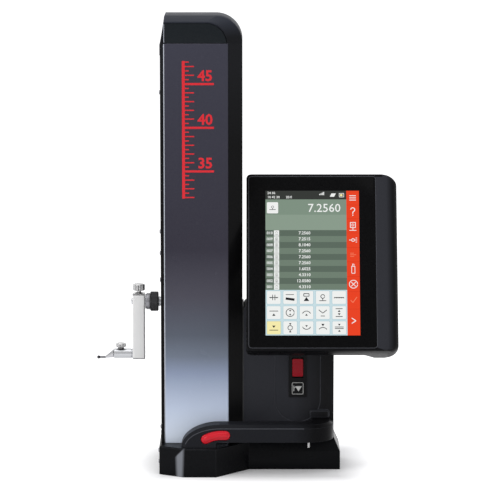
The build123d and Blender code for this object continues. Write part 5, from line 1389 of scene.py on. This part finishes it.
# Reading and status bar, from the screen's lower left corner
statusWhite = [
    ("text", "7.2560", 14.0, 67.5, 151.0, 0.06), ("tile", 1.6, 14.6, 145, 158.4, 1.2),
    ("text", "24 06", 4.0, 2.2, 169.4, 0.06, "LEFT"), ("text", "10 42 30", 4.0, 2.2, 164.4, 0.06, "LEFT"),
    ("text", "20.0", 4.0, 27, 164.4, 0.06), ("shape", [(74, 165), (79, 165), (81, 169), (76, 169)]),
    ("frame", 84.6, 90.4, 164.4, 169.4, 0.6, 0.6),
] + [("tile", 62 + k * 1.5, 63 + k * 1.5, 167.0, 168.4 + k * 0.8, 0.1) for k in (0, 1, 2, 3)]
statusInk = [
    ("stroke", 4.5, 149.5, 11.7, 149.5, 0.7), ("arc", 8.1, 152.6, 1.3, 0.5, 0, 350),
    ("stroke", 8.1, 149.8, 8.1, 151.2, 0.5),
]

# Signs of the side bar, from the foot of its middle line: menu, question, stand, axis, bottle, cross, next
barWhite = [("stroke", -3.8, y, 3.8, y, 0.9) for y in (161.0, 163.6, 166.2)] + [
    ("arc", 0, 149.4, 2.3, 1.0, -70, 175), ("stroke", 0.6, 147.4, 0, 145.4, 1.0),
    ("stroke", 0, 145.6, 0, 144.4, 1.0), ("stroke", 0, 143.4, 0, 142.2, 1.2),
    ("frame", -3.3, 3.3, 127.5, 134.5, 0.8, 0.6), ("stroke", 0, 127.5, 0, 125.2),
    ("stroke", -4, 124.6, 4, 124.6), ("arc", 0, 131.0, 1.3, 0.6, 0, 350), ("stroke", -4.5, 113, -1.6, 113),
    ("arc", 0, 113, 1.6, 0.8, 0, 350),
    ("stroke", 1.6, 113, 4.6, 113), ("stroke", 3.0, 110.6, 4.6, 110.6), ("stroke", 3.0, 115.4, 4.6, 115.4),
    ("frame", -2.2, 2.2, 73.0, 82.0, 0.7, 0.8), ("frame", -1.2, 1.2, 81.4, 84.6, 0.6, 0.3),
    ("arc", 0, 60.4, 4.7, 0.8, 0, 352, 30), ("stroke", -2.6, 57.8, 2.6, 63.0),
    ("stroke", -2.6, 63.0, 2.6, 57.8), ("stroke", -2.4, 20.4, 2.4, 17.2, 1.0),
    ("stroke", -2.4, 14.0, 2.4, 17.2, 1.0),
]
barDim = [("stroke", -3.4, 95.4 + k * 1.9, 3.4 - (k % 2) * 2.4, 95.4 + k * 1.9, 0.7) for k in (-1, 0, 1)] + [
    ("stroke", -3.4, 41.6, -0.8, 38.6, 0.9), ("stroke", -0.8, 38.6, 3.8, 45.2, 0.9),
]


def draw(level, colour, rows, x=0.0, y=0.0):
    # flat shapes about the point x, y of the screen; each level stands 0.02 mm above the one below it
    low = screenLook["over"] + screenLook["level"] * level
    left, bottom = screenLook["left"] + x, screenLook["bottom"] + y
    place = lambda a, b, h: onDisplay(a + left, b + bottom, h)
    marker = pen(place, low, low + screenLook["level"], linear(screenColours[colour]))
    return [getattr(marker, kind)(*numbers) for kind, *numbers in rows]


def screenField(look):
    # black ground, status bar, the reading's two fields, and the side bar with its lines and signs
    bar, top, right = look["bar"], look["height"], look["width"]
    status, split, middle = look["statusFrom"], (look["statusFrom"] + look["listTop"]) / 2, (bar + right) / 2
    parts = draw(0, "black", [("tile", 0, right, 0, top, 0.2)])
    bands = {"status": (0, bar, status, top), "field": (0, bar, split, status),
             "fieldLow": (0, bar, look["listTop"], split), "bar": (bar, right, 0, top)}
    for colour, box in bands.items():
        parts += draw(1, colour, [("tile", *box, 0.1)])
    parts += draw(2, "white", statusWhite) + draw(3, "ink", statusInk)
    parts += draw(2, "yellow", [("tile", 85.8, 88.6, 165.6, 168.2, 0.2)])
    parts += draw(2, "barLine", [("tile", bar, right, y - 0.15, y + 0.15, 0.05) for y in look["barLines"]])
    return parts + draw(3, "white", barWhite, middle) + draw(3, "barDim", barDim, middle)


def screenList(look):
    # ten striped rows, each with its number, a small sign on a white field, and a value
    parts, pitch = [], (look["listTop"] - look["listBottom"]) / look["rows"]
    for row, value in enumerate(look["values"]):
        top, sweep = look["listTop"] - row * pitch, 350 if row % 3 else 180
        y = top - pitch / 2
        shade = "rowPale" if row % 2 else "rowDark"
        parts += draw(1, shade, [("tile", 0, look["bar"], top - pitch, top, 0.05)])
        parts += draw(2, "white", [
            ("text", f"{look['rows'] - row:03d}", 4.6, 4.8, y, 0.08),
            ("text", value, 5.0, 51.5, y, 0.09, "RIGHT"),
            ("tile", 9.6, 15.6, top - pitch + 0.3, top - 0.3, 0.4),
        ])
        sign = [("stroke", 11, y - 1.4, 14.2, y - 1.4, 0.5), ("arc", 12.6, y + 0.5, 1.1, 0.45, 0, sweep, 12)]
        parts += draw(3, "ink", sign)
    return parts


def screenTiles(look):
    # three rows of five white tiles, each with its function's sign; the one in use is yellow
    wide, tall = look["bar"] / look["columns"], look["listBottom"] / 3
    parts = draw(1, "pale", [("tile", 0, look["bar"], 0, look["listBottom"], 0.1)])
    for index, (kind, sign) in enumerate(functionSigns.items()):
        x, y = (index % look["columns"] + 0.5) * wide, (2.5 - index // look["columns"]) * tall
        a, b = wide * 0.44, tall * 0.45
        parts += draw(2, "paleLine", [("tile", -a, a, -b, b, 1.4)], x, y)
        inner = [("tile", 0.35 - a, a - 0.35, 0.35 - b, b - 0.35, 1.1)]
        parts += draw(3, "yellow" if kind == "floor" else "white", inner, x, y) + draw(4, "ink", sign, x, y)
    return parts


pictureParts = screenField(screenLook) + screenList(screenLook) + screenTiles(screenLook)
addParts("screenPicture", pictureParts, "screenLit", "display_glass", merge=False)
print("display dressed:", len(pictureParts), "plates")


# Stage: pale floor and backdrop that show as white, with soft lamps; near the base the floor glows less, a
# painted shade round it
stageLook = {
    "size": 60.0, "floor": 0.85, "rough": 0.8, "glow": (0.08, 0.6), "reach": (0.0, 0.05),
    "foot": (0.1, 0.07, 1.0), "ambient": (0.62, 0.62, 0.64, 1),
}
lamps = {
    "lampLeft": {"at": (-1.7, -1.6, 1.5), "aim": (0, 0, 0.25), "size": (0.8, 1.2), "power": 22},
    "lampRight": {"at": (1.8, -1.4, 1.2), "aim": (0, 0, 0.25), "size": (1.2, 1.2), "power": 2},
    "lampTop": {"at": (0, -0.2, 2.2), "aim": (0, 0, 0.2), "size": (2.0, 2.0), "power": 18},
}


def cameraRays(tree):
    # camera, mirror and glass rays see the white stage; other rays see its plain colour
    seen = addNode(tree, "LightPath").outputs
    rays = mathNode(tree, "MAXIMUM", seen["Is Camera Ray"], seen["Is Glossy Ray"])
    return mathNode(tree, "MAXIMUM", rays, seen["Is Transmission Ray"])


def addStage(look):
    # the floor's glow grows with the distance from the base, which paints shade round it: the length of
    # max(|p| - foot, 0)
    size, level = look["size"], look["floor"]
    floor = bpy.data.meshes.new("floor")
    corners = [(-size, -size, 0), (size, -size, 0), (size, size, 0), (-size, size, 0)]
    floor.from_pydata(corners, [], [(0, 1, 2, 3)])
    floorObject = bpy.data.objects.new("floor", floor)
    bpy.context.scene.collection.objects.link(floorObject)
    floorObject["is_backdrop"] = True
    material, tree, shader = startMaterial("floorWhite")
    away = objectCoords(tree)
    steps = {"ABSOLUTE": None, "SUBTRACT": look["foot"], "MAXIMUM": (0, 0, 0), "LENGTH": None}
    for operation, other in steps.items():
        step = addNode(tree, "VectorMath", operation=operation)
        feed(tree, step.inputs[0], away)
        if other:
            step.inputs[1].default_value = other
        away = step.outputs["Value" if operation == "LENGTH" else "Vector"]
    shown = mathNode(tree, "MULTIPLY", rangeNode(tree, away, *look["reach"], *look["glow"]), cameraRays(tree))
    for label, value in (("Base Color", (level, level, level, 1)), ("Roughness", look["rough"]),
                         ("Specular IOR Level", 0.0), ("Emission Strength", 1.0),
                         ("Emission Color", mixColour(tree, shown, black, white))):
        feed(tree, shader.inputs[label], value)
    floor.materials.append(material)
    world = bpy.data.worlds.new("studio")
    bpy.context.scene.world = world
    world.use_nodes = True
    sky = world.node_tree
    ground = mixColour(sky, cameraRays(sky), look["ambient"], white)
    feed(sky, sky.nodes["Background"].inputs["Color"], ground)


def addLamp(name, setup):
    data = bpy.data.lights.new(name, "AREA")
    data.shape = "RECTANGLE"
    data.size, data.size_y = setup["size"]
    data.energy = setup["power"]
    lamp = bpy.data.objects.new(name, data)
    lamp.location = setup["at"]
    lamp.rotation_euler = (Vector(setup["aim"]) - Vector(setup["at"])).to_track_quat("-Z", "Y").to_euler()
    bpy.context.scene.collection.objects.link(lamp)


addStage(stageLook)
for name, setup in lamps.items():
    addLamp(name, setup)
bpy.context.scene.view_settings.view_transform = "Standard"
print("stage lit")

boxes = {"cad": cadBox, "visual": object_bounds()}
{key: [list(map(float, corner)) for corner in box] for key, box in boxes.items()}
